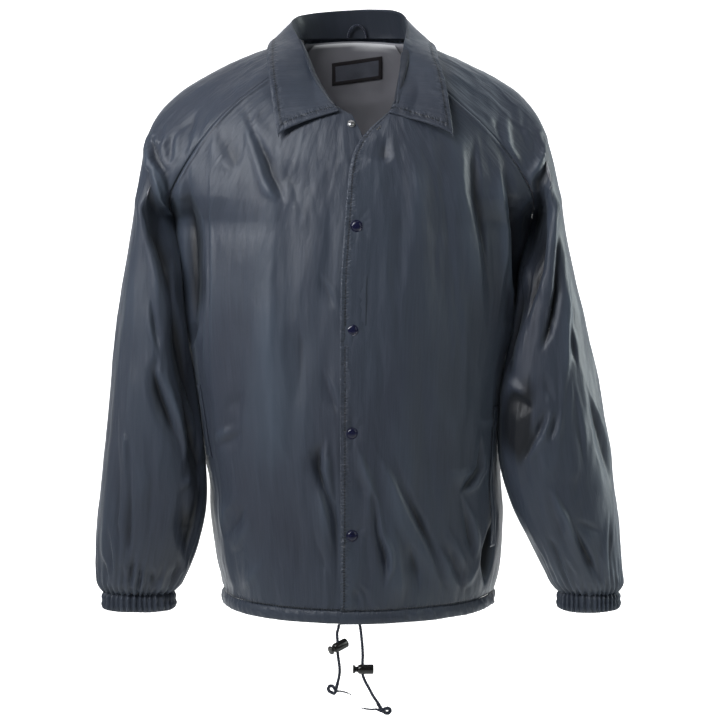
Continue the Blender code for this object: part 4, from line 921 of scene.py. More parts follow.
def thicken(piece, wall, rim=0):
    """Gives cloth its wall inwards, with the second material on the inside."""
    solid = piece.modifiers.new("wall", "SOLIDIFY")
    solid.thickness = wall * MM
    solid.offset = -1.0
    solid.material_offset = 1 if len(piece.data.materials) > 1 else 0
    solid.material_offset_rim = rim
    return piece


def tree_of(bm_or_piece):
    return BVHTree.FromPolygons(
        [vert.co.copy() for vert in bm_or_piece.data.vertices],
        [tuple(face.vertices) for face in bm_or_piece.data.polygons],
    )


def held_off(tree, point, clearance):
    """The point moved out until it clears the cloth beneath it."""
    where, normal, _, _ = tree.find_nearest(point * MM)
    short = clearance - (point - where / MM).dot(normal)
    return point + normal * short if short > 0 else point


def mark_stitches(bm, where, nearest_of):
    """Keeps each vertex's place beside its nearest row of stitches, in millimetres.

    Cloth with no row near it holds a value out of every row's reach.
    """
    beside = bm.verts.layers.float.new("beside")
    along = bm.verts.layers.float.new("along")
    for vert, (u, v) in zip(bm.verts, where):
        away, run = nearest_of(u, v, vert.co / MM)
        vert[beside] = 2 * PUCKER_REACH + min(max(away, -PUCKER_REACH), PUCKER_REACH)
        vert[along] = run


CLOTH = {}


def seam_relief(away):
    """Felled seam: a sunk line at the join and a soft ridge beside it, by distance from it."""
    return 0.9 * math.exp(-(((away - 4.5) / 2.4) ** 2)) - 1.3 * math.exp(-((away / 1.5) ** 2))


def make_front(side):
    columns, rows = FRONT_GRID
    folds = FoldSet(FRONT_FOLDS[side], 2.0 * sizes().fold_strength)
    top = 0.9996
    table = [front_row(side, 0.0008 + (top - 0.0008) * row / rows) for row in range(rows + 1)]
    table = soft_panel_rows(table, 70)
    seed = 3.1 if side == RIGHT else 11.7

    def point(column, row):
        return bezier(*table[row], evened(column / columns))

    bm = grid_mesh(columns, rows, 0.33, 0.72)
    where = lay_grid(bm, columns, rows, point)
    face_outwards(bm, table[rows // 3][0], Vector((0, -1, 0)))

    def rise(u, v, place, normal):
        row = table[round(v * rows)]
        from_edge = abs(place.x - row[0].x)
        to_seam = (place - row[3]).length
        height = folds.height(place.x, place.z)
        height += 2.2 * wrinkle(place, seed + 9, 48, 5.0) + 0.8 * wrinkle(place, seed, 20, 5.0)
        height += 1.0 * crackle(place, seed, 44, 6.0) * (0.5 + 0.5 * smooth_step((-380 - place.z) / 200))
        # gathers that the casing's cord leaves in the cloth above the hem
        near_hem = math.exp((-717 - place.z) / 17)
        ripple = noise.noise(Vector((place.x / 6.5 + seed, place.z / 60 - place.x / 40, seed)))
        height += 1.9 * ripple * near_hem
        # puckers along the topstitched front edge
        stitched = math.exp(-(((from_edge - 7) / 5) ** 2))
        height += 0.7 * stitched * noise.noise(Vector((from_edge / 14, place.z / 4.6, seed)))
        height *= smooth_step(to_seam / 7) * smooth_step(from_edge / 5 + 0.15)
        height *= smooth_step((place.z + 717) / 5 + 0.1) * smooth_step((1 - v) / 0.03)
        # the painted shade and painted highlight of the colour follow the height
        seen = height
        if side == LEFT:
            for number in range(VISIBLE_SNAPS):
                up = place.z - (TOP_VISIBLE_SNAP - SNAP_SPACING * number)
                away = math.hypot(up, from_edge - SNAP_FROM_EDGE)
                if away < 34:
                    # a dimple round each snap, with painted shade deeper than the hollow itself
                    dimple = 1.7 * math.exp(-((away / 11) ** 2))
                    height -= dimple
                    seen -= 1.6 * dimple
                    round_snap = math.atan2(up, from_edge - SNAP_FROM_EDGE)
                    rays = noise.noise(Vector((round_snap * 2.2, number, 5)))
                    height += 1.3 * rays * math.exp(-(((away - 16) / 7) ** 2))
            height += OVERLAP_LIFT * (1 - smooth_step((from_edge - OVERLAP_WIDTH) / OVERLAP_FADE))
            height -= 0.5 * math.exp(-(((from_edge - EDGE_STITCH) / 0.9) ** 2))
        else:
            height += OVERLAP_TUCK * (smooth_step(from_edge / OVERLAP_WIDTH) - 1)
        if v > UNDERARM_LEVEL:
            height += seam_relief(to_seam)
            seen += seam_relief(to_seam)
        return height, seen

    def nearest(u, v, place):
        row = table[round(v * rows)]
        from_edge = (place - row[0]).length - EDGE_STITCH if side == LEFT else 99.0
        above_hem = (place.z + 717) - HEM_STITCH
        if abs(from_edge) < abs(above_hem):
            return from_edge, place.z
        return above_hem, place.x * 1.05

    raise_cloth(bm, where, rise)
    mark_stitches(bm, where, nearest)
    name = f"front_{side}"
    piece = as_piece(f"{name}_cloth", bm, [shell_cloth(), lining_cloth()])
    CLOTH[name] = tree_of(piece)
    thicken(piece, sizes().cloth_wall)
    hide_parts(name)
    return piece


def make_back():
    columns, rows = BACK_GRID
    folds = FoldSet(BACK_FOLDS, 1.6 * sizes().fold_strength)
    table = [back_rows(0.0008 + 0.9988 * row / rows) for row in range(rows + 1)]
    halves = [soft_panel_rows([pair[half] for pair in table], 36) for half in (0, 1)]
    table = list(zip(*halves))

    def point(column, row):
        u = column / columns
        return bezier(*table[row][0 if u < 0.5 else 1], evened(abs(2 * u - 1)))

    bm = grid_mesh(columns, rows, 0.62, 0.72)
    where = lay_grid(bm, columns, rows, point)
    face_outwards(bm, table[rows // 3][0][0], Vector((0, 1, 0)))

    def rise(u, v, place, normal):
        halves = table[round(v * rows)]
        to_seam = (place - halves[0 if u < 0.5 else 1][3]).length
        height = folds.height(place.x, place.z)
        height += 2.2 * wrinkle(place, 12.3, 50, 5.0) + 0.8 * wrinkle(place, 21.3, 20, 5.0)
        height += 1.0 * crackle(place, 21.3, 46, 6.0)
        near_hem = math.exp((-717 - place.z) / 20)
        ripple = noise.noise(Vector((place.x / 6.5, place.z / 60 + place.x / 50, 4.2)))
        height += 2.1 * ripple * near_hem
        height *= smooth_step(to_seam / 7)
        height *= smooth_step((place.z + 717) / 5 + 0.1) * smooth_step((1 - v) / 0.03)
        # the painted shade and painted highlight of the colour follow the height
        seen = height
        if v > UNDERARM_LEVEL:
            height += seam_relief(to_seam)
            seen += seam_relief(to_seam)
        return height, seen

    raise_cloth(bm, where, rise)
    mark_stitches(bm, where, lambda u, v, place: (place.z + 717 - HEM_STITCH, place.x * 1.05))
    piece = as_piece("back_panel_cloth", bm, [shell_cloth(), lining_cloth()])
    CLOTH["back_panel"] = tree_of(piece)
    thicken(piece, sizes().cloth_wall)
    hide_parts("back_panel")
    return piece


def gather_wave(t, side):
    """Uneven gathers round a sleeve's end: height in shares, and how far up each runs."""
    seed = 1.7 if side == RIGHT else 5.9
    turn = 2 * math.pi * t
    phase = GATHERS_ROUND * turn + 1.5 * math.sin(3 * turn + seed) + 0.9 * math.sin(7 * turn + 2 * seed)
    ring = Vector((math.cos(turn), math.sin(turn), 0))
    uneven = 0.62 + 0.55 * noise.noise(ring * 2.4 + Vector((seed, 0, 0)))
    reach = GATHER_FADE * (0.75 + 0.9 * noise.noise(ring * 3.6 + Vector((0, seed, 0))))
    return math.cos(phase) * uneven, max(reach, 10.0)


def make_sleeve(side):
    columns, rows = SLEEVE_GRID
    strength = 1.6 * sizes().fold_strength
    front = FoldSet(SLEEVE_FOLDS[side], strength)
    back = FoldSet(SLEEVE_BACK_FOLDS[side], strength)
    shades = FoldSet(SLEEVE_SHADES[side], -1.0)
    head_rows = round(rows * 0.34)
    table = []
    for row in range(rows + 1):
        w = row / head_rows if row <= head_rows else 1 + (row - head_rows) / (rows - head_rows)
        table.append((w, sleeve_row(side, min(w, 1.9997))))
    table = list(zip([w for w, _ in table], soft_sleeve_rows([curve for _, curve in table])))
    seed = 31.9 if side == RIGHT else 47.3
    waves = [gather_wave(column / columns, side) for column in range(columns + 1)]

    out = -1 if side == RIGHT else 1

    def point(column, row):
        w, curve = table[row]
        t = column / columns
        place = sleeve_arc(*curve, t)
        around = math.exp(-(((t - 0.27) / 0.12) ** 2))
        place.x += out * read(SHOULDER_SETTLE[side], w)[0] * around
        return place

    bm = grid_mesh(columns, rows, 0.46, 0.72)
    where = lay_grid(bm, columns, rows, point)
    face_outwards(bm, sleeve_arc(*table[rows * 2 // 3][1], 0.5), Vector((out, 0, 0)))

    def rise(u, v, place, normal):
        w, row = table[round(v * rows)]
        facing = 1 - smooth_step((u - 0.46) / 0.08)
        height = 0.0
        if facing > 0:
            height += front.height(place.x, place.z) * facing
        if facing < 1:
            height += back.height(place.x, place.z) * (1 - facing)
        height += 1.9 * wrinkle(place, seed + 9, 36, 6.0) + 0.8 * wrinkle(place, seed, 16, 6.0)
        height += 1.0 * crackle(place, seed, 36, 6.0)
        to_seam = min((place - row[0]).length, (place - row[6]).length)
        height *= smooth_step(to_seam / 9)
        # the shoulder's outline stays smooth where folds reach it
        outline = math.exp(-(((u - 0.46) / 0.075) ** 2)) * smooth_step((place.z + 330) / 90)
        height *= 1 - 0.8 * outline
        height -= 1.0 * outline * math.exp(-(((place.z + 150) / 38) ** 2))
        floor = -4.6 - 7.0 * smooth_step((-210 - place.z) / 80)
        if height < floor:
            height = floor + 0.25 * (height - floor)
        # the inside of the arm fills out against the body
        inner = math.exp(-((min(u, 1 - u) / 0.075) ** 2))
        filled = INNER_FILL[side] * inner * math.exp(-(((place.z + 275) / 42) ** 2))
        height += filled * smooth_step((w - 1) / 0.03)
        height *= smooth_step(v / 0.03)
        # gathers and a soft swell above the cuff
        above_cuff = place.z - CUFF_TOP
        wave, reach = waves[round(u * columns)]
        height *= smooth_step(above_cuff / 14)
        height += GATHER_DEPTH * wave * math.exp(-above_cuff / reach)
        height += 1.2 * math.exp(-(((above_cuff - 13) / 9) ** 2))
        height -= 1.0 * math.exp(-((above_cuff / 3.0) ** 2))
        # painted shade: the colour value follows the height and sinks further where the shade table
        # darkens the inner arm
        seen = height - shades.height(place.x, place.z) * facing
        if w < 1:
            height -= 0.9 * math.exp(-((to_seam / 1.5) ** 2))
            seen -= 0.9 * math.exp(-((to_seam / 1.5) ** 2))
        return height, seen

    raise_cloth(bm, where, rise)
    name = f"sleeve_{side}"
    piece = as_piece(f"{name}_cloth", bm, [shell_cloth(), lining_cloth()])
    CLOTH[name] = tree_of(piece)
    thicken(piece, sizes().cloth_wall)
    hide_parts(name)
    return piece


def make_cuff(side):
    """Elastic cuff that carries on the sleeve's own gathers."""
    columns, rows = CUFF_GRID
    ring = arm_row(side, CUFF_TOP)
    middle = (ring[0] + ring[2]) / 2
    seed = 2.3 if side == RIGHT else 8.8
    loop = [sleeve_arc(*ring, (column % columns) / columns) for column in range(columns + 1)]
    waves = [gather_wave((column % columns) / columns, side)[0] for column in range(columns + 1)]

    def point(column, row):
        height, proud = CUFF_SECTION[row]
        base = loop[column]
        away = Vector((base.x - middle.x, (base.y - middle.y) * 2.2, 0)).normalized()
        full = math.sin(math.pi * min(max((row - 1) / 14, 0), 1)) ** 0.5
        pinch = 1 - 0.45 * math.exp(-(((height + 729) / 2.2) ** 2))
        wave = GATHER_DEPTH * (0.55 + 0.5 * full * pinch) * waves[column]
        twist = 0.6 * full * noise.noise(Vector((column * 0.35, height / 5, seed)))
        droop = 1.1 * noise.noise(Vector((base.x / 30, base.y / 30, seed)))
        spot = Vector((base.x, base.y, height + droop * smooth_step((-724 - height) / 12)))
        inner = 1.0 if row < 14 else 0.25
        return spot + away * (proud + (wave + twist) * inner)

    bm = grid_mesh(columns, rows, 0.20, 0.056)
    where = lay_grid(bm, columns, rows, point)
    face_outwards(bm, point(columns // 4, 8), Vector((0, -1, 0)))
    raise_cloth(bm, where, lambda u, v, place, normal: (0.0, -1.6 + 3.4 * waves[round(u * columns)]))
    piece = as_piece(f"cuff_{side}_gathers", bm, [shell_cloth(), lining_cloth()])
    thicken(piece, 0.9)
    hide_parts(f"cuff_{side}")
    return piece


def hem_piece(name, node, columns, base_of, seed, flat):
    """Hem casing: cloth folded over the drawcord, puckered on the slant."""
    rows = len(HEM_SECTION) - 1
    bases = [base_of(column / columns) for column in range(columns + 1)]

    def point(column, row):
        height, proud = HEM_SECTION[row]
        base, normal, full = bases[column]
        along = base.x + height * 0.55
        uneven = noise.noise(Vector((along / 4.6, base.y / 9, seed)))
        pucker = (1 + 0.8 * smooth_step((base.x - 20) / 60)) * uneven
        pucker += 0.6 * noise.noise(Vector((along / 11, base.y / 20, seed + 5)))
        open_part = math.sin(math.pi * min(max((row - 0.5) / 6, 0), 1))
        lift = (0.8 + 0.4 * full) * proud + 2.2 * full * pucker * open_part
        sag = 0.5 * full * noise.noise(Vector((base.x / 17, base.y / 17, seed)))
        return Vector((base.x, base.y, height + sag * smooth_step((-722 - height) / 8))) + normal * lift

    bm = grid_mesh(columns, rows, flat[0], flat[1])
    where = lay_grid(bm, columns, rows, point)
    middle = bases[columns // 2]
    face_outwards(bm, point(columns // 2, 4), middle[1])
    # value for the finish's painted shade and highlight: highest along the casing's roll, lower towards
    # its edges, too small to change the colour
    layer = bm.verts.layers.float.new("fold")
    for vert, (u, v) in zip(bm.verts, where):
        vert[layer] = 0.4 - 2.4 * abs(v - 0.35)
    mark_stitches(bm, where, lambda u, v, place: (-716.5 - place.z + 1.5, place.x * 1.05))
    piece = as_piece(name, bm, [shell_cloth(), lining_cloth()])
    thicken(piece, 0.8)
    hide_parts(node)
    return piece


def flat_normal(tree, base):
    """Outward way across the cloth at a point, kept level."""
    _, normal, _, _ = tree.find_nearest(base * MM)
    return Vector((normal.x, normal.y, 0)).normalized()


def make_hems():
    pieces = []
    for side, seed in ((RIGHT, 2.0), (LEFT, 9.0)):
        row = front_row(side, 0.008)

        def base_of(u, side=side, row=row):
            spot = bezier(*row, evened(u))
            normal = flat_normal(CLOTH[f"front_{side}"], spot)
            from_edge = abs(spot.x - row[0].x)
            full = 0.6 + 0.4 * smooth_step((from_edge - 30) / 50)
            lift = OVERLAP_LIFT if side == LEFT else -OVERLAP_TUCK
            fade = smooth_step((from_edge - OVERLAP_WIDTH) / OVERLAP_FADE)
            if side == RIGHT:
                fade = smooth_step(from_edge / OVERLAP_WIDTH)
            return spot + normal * (lift * (1 - fade)), normal, full

        pieces.append(hem_piece(
            f"hem_front_{side}_casing", f"hem_casing_front_{side}", HEM_GRID["front"][0], base_of,
            seed, (0.34, 0.028),
        ))
    rows = back_rows(0.008)

    def back_of(u):
        spot = bezier(*rows[0 if u < 0.5 else 1], evened(abs(2 * u - 1)))
        return spot, flat_normal(CLOTH["back_panel"], spot), 1.0

    pieces.append(hem_piece(
        "hem_back_casing", "hem_casing_back", HEM_GRID["back"][0], back_of, 14.0, (0.60, 0.028)
    ))
    return pieces


def make_collar():
    columns, rows = COLLAR_GRID
    tree = body_tree()
    stand = 18

    def level(row):
        return 0.4 * row / stand if row <= stand else 0.4 + 0.6 * (row - stand) / (rows - stand)

    edges = [collar_point(column / columns, 1.0) for column in range(columns + 1)]

    def point(column, row):
        v = level(row)
        place = collar_point(column / columns, v)
        return place if v < 0.4 else held_off(tree, place, 3.2)

    bm = grid_mesh(columns, rows, 0.56, 0.12)
    where = lay_grid(bm, columns, rows, point)
    face_outwards(bm, collar_point(0.5, 0.8), Vector((0, 1, 0)))

    def rise(u, v, place, normal):
        row = round(v * rows)
        share = level(row)
        if share < 0.4:
            soft = 0.3 * wrinkle(place, 60.0, 18, 1.0) * smooth_step(share / 0.1)
            # the stand, under the leaf, gets painted shade
            return soft, -5.6 * smooth_step((0.40 - share) / 0.05)
        column = round(u * columns)
        to_edge = (place - edges[column]).length
        end = collar_point(0.0 if u < 0.5 else 1.0, share)
        to_edge = min(to_edge, (place - end).length)
        run = u * 560
        ripple = noise.noise(Vector((run / 7.5, to_edge / 9, 71.0)))
        pucker = 1.3 * ripple * math.exp(-(((to_edge - 5.0) / 5.0) ** 2))
        soft = 0.7 * wrinkle(place, 63.0, 26, 1.0) * smooth_step(to_edge / 16)
        lines = -0.55 * math.exp(-(((to_edge - 7.6) / 0.8) ** 2))
        lines -= 0.45 * math.exp(-(((to_edge - 10.4) / 0.8) ** 2))
        rolled = -1.0 * math.exp(-((to_edge / 1.4) ** 2))
        height = (pucker + soft + lines + rolled) * smooth_step((share - 0.4) / 0.12)
        # the painted shade and painted highlight of the leaf's colour follow its height
        return height, height

    def nearest(u, v, place):
        row = round(v * rows)
        share = level(row)
        if share < 0.45:
            return 99.0, 0.0
        to_edge = (place - edges[round(u * columns)]).length
        end = collar_point(0.0 if u < 0.5 else 1.0, share)
        to_end = (place - end).length
        line = sum(COLLAR_STITCH) / 2
        if to_end < to_edge:
            return to_end - line, share * 90
        return to_edge - line, u * 560

    raise_cloth(bm, where, rise)
    mark_stitches(bm, where, nearest)
    piece = as_piece("collar_cloth", bm, [shell_cloth(), shell_cloth()])
    CLOTH["collar"] = tree_of(piece)
    thicken(piece, 1.4)
    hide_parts("collar")
    return piece


def body_tree():
    """Search tree over all the panels' outer faces."""
    corners, faces = [], []
    for name in ("back_panel", "front_right", "front_left", "sleeve_right", "sleeve_left"):
        mesh = bpy.data.objects[f"{name}_cloth"].data
        first = len(corners)
        corners.extend(vert.co.copy() for vert in mesh.vertices)
        faces.extend([first + index for index in face.vertices] for face in mesh.polygons)
    return BVHTree.FromPolygons(corners, faces)


# Neck: lining, label and hanger loop


def make_lining():
    columns, rows = 96, 44
    first = 3 / 24

    def point(column, row):
        u = first + (1 - 2 * first) * column / columns
        v = UNDERARM_LEVEL + (0.9985 - UNDERARM_LEVEL) * row / rows
        return back_base(u, v)

    bm = grid_mesh(columns, rows, 0.42, 0.24)
    where = lay_grid(bm, columns, rows, point)
    face_outwards(bm, back_base(0.5, 0.9), Vector((0, 1, 0)))

    def rise(u, v, place, normal):
        soft = 0.55 * wrinkle(place, 80.0, 24, 2.0) + 0.35 * crackle(place, 81.0, 30, 1.6)
        tucks = 0.5 * noise.noise(Vector((place.x / 5.5, place.z / 40, 82.0)))
        height = soft + tucks * math.exp(-(1 - v) / 0.12)
        band = smooth_step((place.z - (1.0 - 0.045 * place.x)) / 1.6 + 0.5)
        height -= LINING_DROP + 0.6
        # the lining stays inside the back wherever a fold sinks
        spot = place + normal * height
        shell, outwards, _, _ = CLOTH["back_panel"].find_nearest(spot * MM)
        return height - max(0.0, (spot - shell / MM).dot(outwards) + 2.8), band

    raise_cloth(bm, where, rise, "band")
    piece = as_piece("lining_back_cloth", bm, [lining_cloth()])
    CLOTH["lining_back"] = tree_of(piece)
    thicken(piece, 0.5)
    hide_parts("lining_back")
    return piece


def make_label():
    """Bare woven label: a dark folded border round a grey-blue field."""
    columns, rows = 60, 28
    width, height = LABEL_SIZE
    turn = math.radians(LABEL_TURN)
    tree = CLOTH["lining_back"]

    def point(column, row):
        across, up = (column / columns - 0.5) * width, (row / rows - 0.5) * height
        x = LABEL_CENTRE[0] + across * math.cos(turn)
        z = LABEL_CENTRE[1] + up + across * math.sin(turn)
        where, normal, _, _ = tree.ray_cast(Vector((x, 0, z)) * MM, Vector((0, 1, 0)))
        return where / MM - normal * 1.3

    bm = grid_mesh(columns, rows, width * MM, height * MM)
    where = lay_grid(bm, columns, rows, point)
    face_outwards(bm, point(30, 14), Vector((0, -1, 0)))

    def rise(u, v, place, normal):
        border = min(u * width, (1 - u) * width, v * height, (1 - v) * height)
        raised = 0.5 * (1 - smooth_step((border - 4.0) / 1.2))
        bulge = 0.8 * math.sin(math.pi * u) * math.sin(math.pi * v)
        return bulge + raised * 0.5, raised

    raise_cloth(bm, where, rise)
    piece = as_piece("label_woven", bm, [label_cloth()])
    thicken(piece, 0.4)
    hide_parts("label")
    return piece


def tube_mesh(bm, points, radius_of, sides, lobes=0, twist=0.0, lobe_depth=0.0):
    """A closed tube along points in millimetres, its section turning as a twisted cord's does."""
    uv = bm.loops.layers.uv.verify()
    forward = [
        (points[min(i + 1, len(points) - 1)] - points[max(i - 1, 0)]).normalized()
        for i in range(len(points))
    ]
    side_way = forward[0].orthogonal().normalized()
    rings, travelled = [], 0.0
    for index, point in enumerate(points):
        if index:
            travelled += (point - points[index - 1]).length
        side_way = (side_way - forward[index] * side_way.dot(forward[index])).normalized()
        up = forward[index].cross(side_way)
        made = bmesh.ops.create_circle(bm, cap_ends=False, segments=sides, radius=1.0)["verts"]
        turn = 2 * math.pi * travelled / twist if twist else 0.0
        radius = radius_of(index / (len(points) - 1))
        for number, vert in enumerate(made):
            angle = 2 * math.pi * number / sides
            swell = 1 - lobe_depth * (1 - abs(math.cos(lobes * (angle + turn) / 2))) if lobes else 1.0
            way = side_way * math.cos(angle) + up * math.sin(angle)
            vert.co = (point + way * (radius * swell)) * MM
        rings.append((made, travelled))
    for (low, start), (high, end) in zip(rings, rings[1:]):
        for number in range(sides):
            after = (number + 1) % sides
            face = bm.faces.new((low[number], low[after], high[after], high[number]))
            marks = ((number, start), (number + 1, start), (number + 1, end), (number, end))
            for loop, (around, length) in zip(face.loops, marks):
                loop[uv].uv = (around / sides, length * MM)
    bm.faces.new(list(reversed(rings[0][0])))
    bm.faces.new(rings[-1][0])


def smooth_route(points, steps):
    """Evenly stepped points on a smooth curve through given ones."""
    rows = [(index, *point) for index, point in enumerate(points)]
    last = len(points) - 1
    return [Vector(read(rows, last * step / steps)) for step in range(steps + 1)]


def make_hanger_loop():
    points = []
    for step in range(49):
        angle = math.pi * step / 48
        up = LOOP_HEIGHT * math.sin(angle)
        out = LOOP_WIDTH / 2 * math.cos(angle)
        points.append(Vector((LOOP_X + out, LOOP_Y - LOOP_LEAN * up, LOOP_Z + up)))
    bm = bmesh.new()
    tube_mesh(bm, points, lambda share: LOOP_RADIUS, 14, 2, 5.0, 0.16)
    bmesh.ops.recalc_face_normals(bm, faces=bm.faces)
    piece = as_piece("hanger_loop_cord", bm, [cord_fibre()])
    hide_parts("hanger_loop")
    return piece


# Stitches


def stitch_line(bm, tree, points, pitch=3.3, length=2.3, radius=0.34, lift=0.12):
    """Small sewn stitches laid end to end on the cloth along a line of points."""
    travelled, left = 0.0, pitch / 2
    shape = None
    for start, end in zip(points, points[1:]):
        span = (end - start).length
        if span < 1e-6:
            continue
        while travelled + span >= left:
            spot = start.lerp(end, (left - travelled) / span)
            left += pitch
            found, normal, _, _ = tree.find_nearest(spot * MM)
            way = end - start
            way = (way - normal * way.dot(normal)).normalized()
            side = normal.cross(way)
            shape = bmesh.ops.create_icosphere(bm, subdivisions=1, radius=1.0)["verts"]
            turn = Matrix((way, side, normal)).transposed()
            size = Matrix.Diagonal((length / 2, radius, radius * 0.8))
            place = found / MM + normal * lift
            for vert in shape:
                vert.co = (place + turn @ (size @ vert.co)) * MM
        travelled += span


def make_stitching():
    """Topstitching of the fronts, raglan seams, hem and collar, as rows of small stitches."""
    lines = bmesh.new()
    for side in (RIGHT, LEFT):
        tree = CLOTH[f"front_{side}"]
        levels = [step / 90 for step in range(2, 91)]
        if side == LEFT:
            edge = []
            for level in levels:
                row = front_row(side, level)
                share = share_at(side, row[0].x + EDGE_STITCH, level)
                edge.append(bezier(*row, evened(share)))
            stitch_line(lines, tree, edge)
        seam = []
        for step in range(61):
            row = front_row(side, SEAM_START + SEAM_RUN * step / 61)
            seam.append(bezier(*row, evened(0.965)))
        stitch_line(lines, tree, seam)
        hem = [bezier(*front_row(side, 0.004), evened(step / 60)) for step in range(61)]
        stitch_line(lines, tree, hem, 3.0, 2.1, 0.36)
    tree = CLOTH["back_panel"]
    hem = [back_base(step / 120, 0.004) for step in range(121)]
    stitch_line(lines, tree, hem, 3.0, 2.1, 0.36)
    for share in (0.018, 0.982):
        seam = [back_base(share, SEAM_START + SEAM_RUN * step / 60) for step in range(61)]
        stitch_line(lines, tree, seam)
    tree = CLOTH["collar"]
    run = 1 - THREAD_FROM
    for inset in COLLAR_THREAD:
        path = [collar_inset(0.0, THREAD_FROM + run * step / 36, inset) for step in range(1, 36)]
        path += [collar_inset(step / 150, 1.0, inset) for step in range(151)]
        path += [collar_inset(1.0, 1 - run * step / 36, inset) for step in range(1, 36)]
        stitch_line(lines, tree, path, 3.3, 2.3, 0.3)
    bmesh.ops.recalc_face_normals(lines, faces=lines.faces)
    piece = as_piece("topstitching", lines, [thread()])
    return piece


def collar_inset(u, v, inset):
    """Point on the collar leaf moved in from its edges by an inset."""
    u = min(max(u, inset / 560), 1 - inset / 560)
    near = collar_point(u, 1.0)
    low, high = 0.4, 1.0
    if v > 0.9:
        for _ in range(18):
            middle = (low + high) / 2
            if (collar_point(u, middle) - near).length > inset:
                low = middle
            else:
                high = middle
        v = min(v, low)
    return collar_point(u, v)


def make_welts():
    pieces = []
    for side in (RIGHT, LEFT):
        top, bottom, share_top, share_bottom = POCKET[side]
        tree = CLOTH[f"front_{side}"]
        columns, rows = 14, 110
        seed = 90.0 if side == RIGHT else 95.0

        def point(column, row):
            v = row / rows
            level = level_of(bottom + (top - bottom) * v)
            share = share_bottom + (share_top - share_bottom) * v
            share += (column / columns - 0.5) * WELT_WIDTH / PANEL_ROUND
            return held_off(tree, front_base(side, share, level), 0.9)

        bm = grid_mesh(columns, rows, WELT_WIDTH * MM, (top - bottom) * MM)
        where = lay_grid(bm, columns, rows, point)
        face_outwards(bm, point(7, 55), Vector((0, -1, 0)))

        def rise(u, v, place, normal):
            ends = math.exp(-v / 0.08) + math.exp(-(1 - v) / 0.08)
            ripple = noise.noise(Vector((u * 1.2, place.z / 5.5, seed)))
            groove = 0.8 * math.exp(-(((u - 0.5) / 0.1) ** 2)) * (1 - ends)
            height = 0.9 + 1.2 * ripple * (0.35 + ends) - groove
            height *= smooth_step(min(v, 1 - v) / 0.02)
            # the painted shade and painted highlight of the welt's colour follow its height
            return height, height

        raise_cloth(bm, where, rise)
        piece = as_piece(f"pocket_{side}_welt", bm, [shell_cloth(), lining_cloth()])
        thicken(piece, 0.8)
        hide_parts(f"pocket_welt_{side}")
        pieces.append(piece)
    return pieces


# Snaps and cord locks


def placing(point, axis):
    """Matrix that puts a piece's own +Z along axis at a point given in millimetres."""
    turn = Vector(axis).normalized().to_track_quat("Z", "Y").to_matrix().to_4x4()
    return Matrix.Translation(Vector(point) * MM) @ turn


def turned(name, profile, steps, place, material, body=JACKET):
    """A turned piece: a profile (radius, height) in millimetres spun round a placed axis."""
    bm = bmesh.new()
    verts = [bm.verts.new((radius * MM, 0, height * MM)) for radius, height in profile]
    edges = [bm.edges.new(pair) for pair in zip(verts, verts[1:])]
    if profile[0][0] > 0:
        edges.append(bm.edges.new((verts[-1], verts[0])))
    bmesh.ops.spin(
        bm, geom=verts + edges, cent=(0, 0, 0), axis=(0, 0, 1), angle=2 * math.pi,
        steps=steps, use_merge=True,
    )
    bmesh.ops.remove_doubles(bm, verts=bm.verts, dist=0.00001)
    bmesh.ops.recalc_face_normals(bm, faces=bm.faces)
    bmesh.ops.transform(bm, matrix=place, verts=bm.verts)
    piece = as_piece(name, bm, [material], body, 0.000001)
    piece.data.set_sharp_from_angle(angle=math.radians(38))
    return piece


CAP_PROFILE = (
    (0, 0), (7.2, 0), (7.5, 0.2), (7.55, 0.6), (7.3, 1.0), (6.7, 1.15), (6.3, 0.95), (6.0, 1.0),
    (5.6, 1.5), (4.8, 2.0), (3.6, 2.35), (2.0, 2.55), (0.9, 2.6), (0, 2.6),
)
STUD_PROFILE = (
    (0, 0), (5.0, 0), (5.2, 0.3), (4.9, 0.7), (2.6, 0.9), (2.1, 1.3), (2.4, 2.1), (2.0, 2.6),
    (0.9, 2.85), (0, 2.85),
)
SOCKET_PROFILE = (
    (2.2, 0), (5.4, 0), (5.7, 0.3), (5.6, 1.1), (5.1, 1.6), (4.4, 2.0), (3.2, 2.1), (2.5, 1.9),
    (2.2, 1.2),
)


def make_snaps():
    tree = CLOTH["front_left"]
    for number in range(VISIBLE_SNAPS):
        level = level_of(TOP_VISIBLE_SNAP - SNAP_SPACING * number)
        row = front_row(LEFT, level)
        spot = bezier(*row, evened(share_at(LEFT, row[0].x + SNAP_FROM_EDGE, level)))
        found, normal, _, _ = tree.find_nearest(spot * MM)
        place = placing(found / MM + normal * (SURFACE_GAP - 0.1), normal)
        cap = turned(f"snap_dome_{number + 1}", CAP_PROFILE, 48, place, snap_paint())
        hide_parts(f"snap_cap_{number + 1}")
    for side, mark, name, profile, way in (
        (RIGHT, TOP_STUD, "snap_stud", STUD_PROFILE, 1),
        (LEFT, TOP_SOCKET, "snap_socket", SOCKET_PROFILE, -1),
    ):
        level = level_of(mark[1])
        spot = front_base(side, share_at(side, mark[0], level), level)
        found, normal, _, _ = CLOTH[f"front_{side}"].find_nearest(spot * MM)
        away = SURFACE_GAP if way > 0 else sizes().cloth_wall + SURFACE_GAP
        place = placing(found / MM + normal * (way * away), normal * way)
        metal = turned(f"{name}_metal", profile, 40, place, snap_metal())
        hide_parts(f"{name}_top")


BARREL_PROFILE = (
    (0, -10.0), (4.6, -10.0), (5.4, -9.8), (5.9, -9.4), (6.15, -8.8), (6.2, -8.0), (6.2, 6.2),
    (6.1, 7.4), (5.8, 8.6), (5.3, 9.6), (4.9, 10.0), (4.5, 10.0), (4.3, 9.7), (4.3, 3.0), (0, 3.0),
)
BUTTON_PROFILE = (
    (0, 9.95), (3.1, 9.95), (3.7, 10.3), (3.9, 10.7), (3.45, 11.2), (3.4, 12.4), (3.8, 13.2),
    (5.0, 13.9), (5.6, 14.4), (5.7, 15.0), (5.6, 15.8), (5.2, 16.4), (4.4, 16.6), (0, 16.7),
)


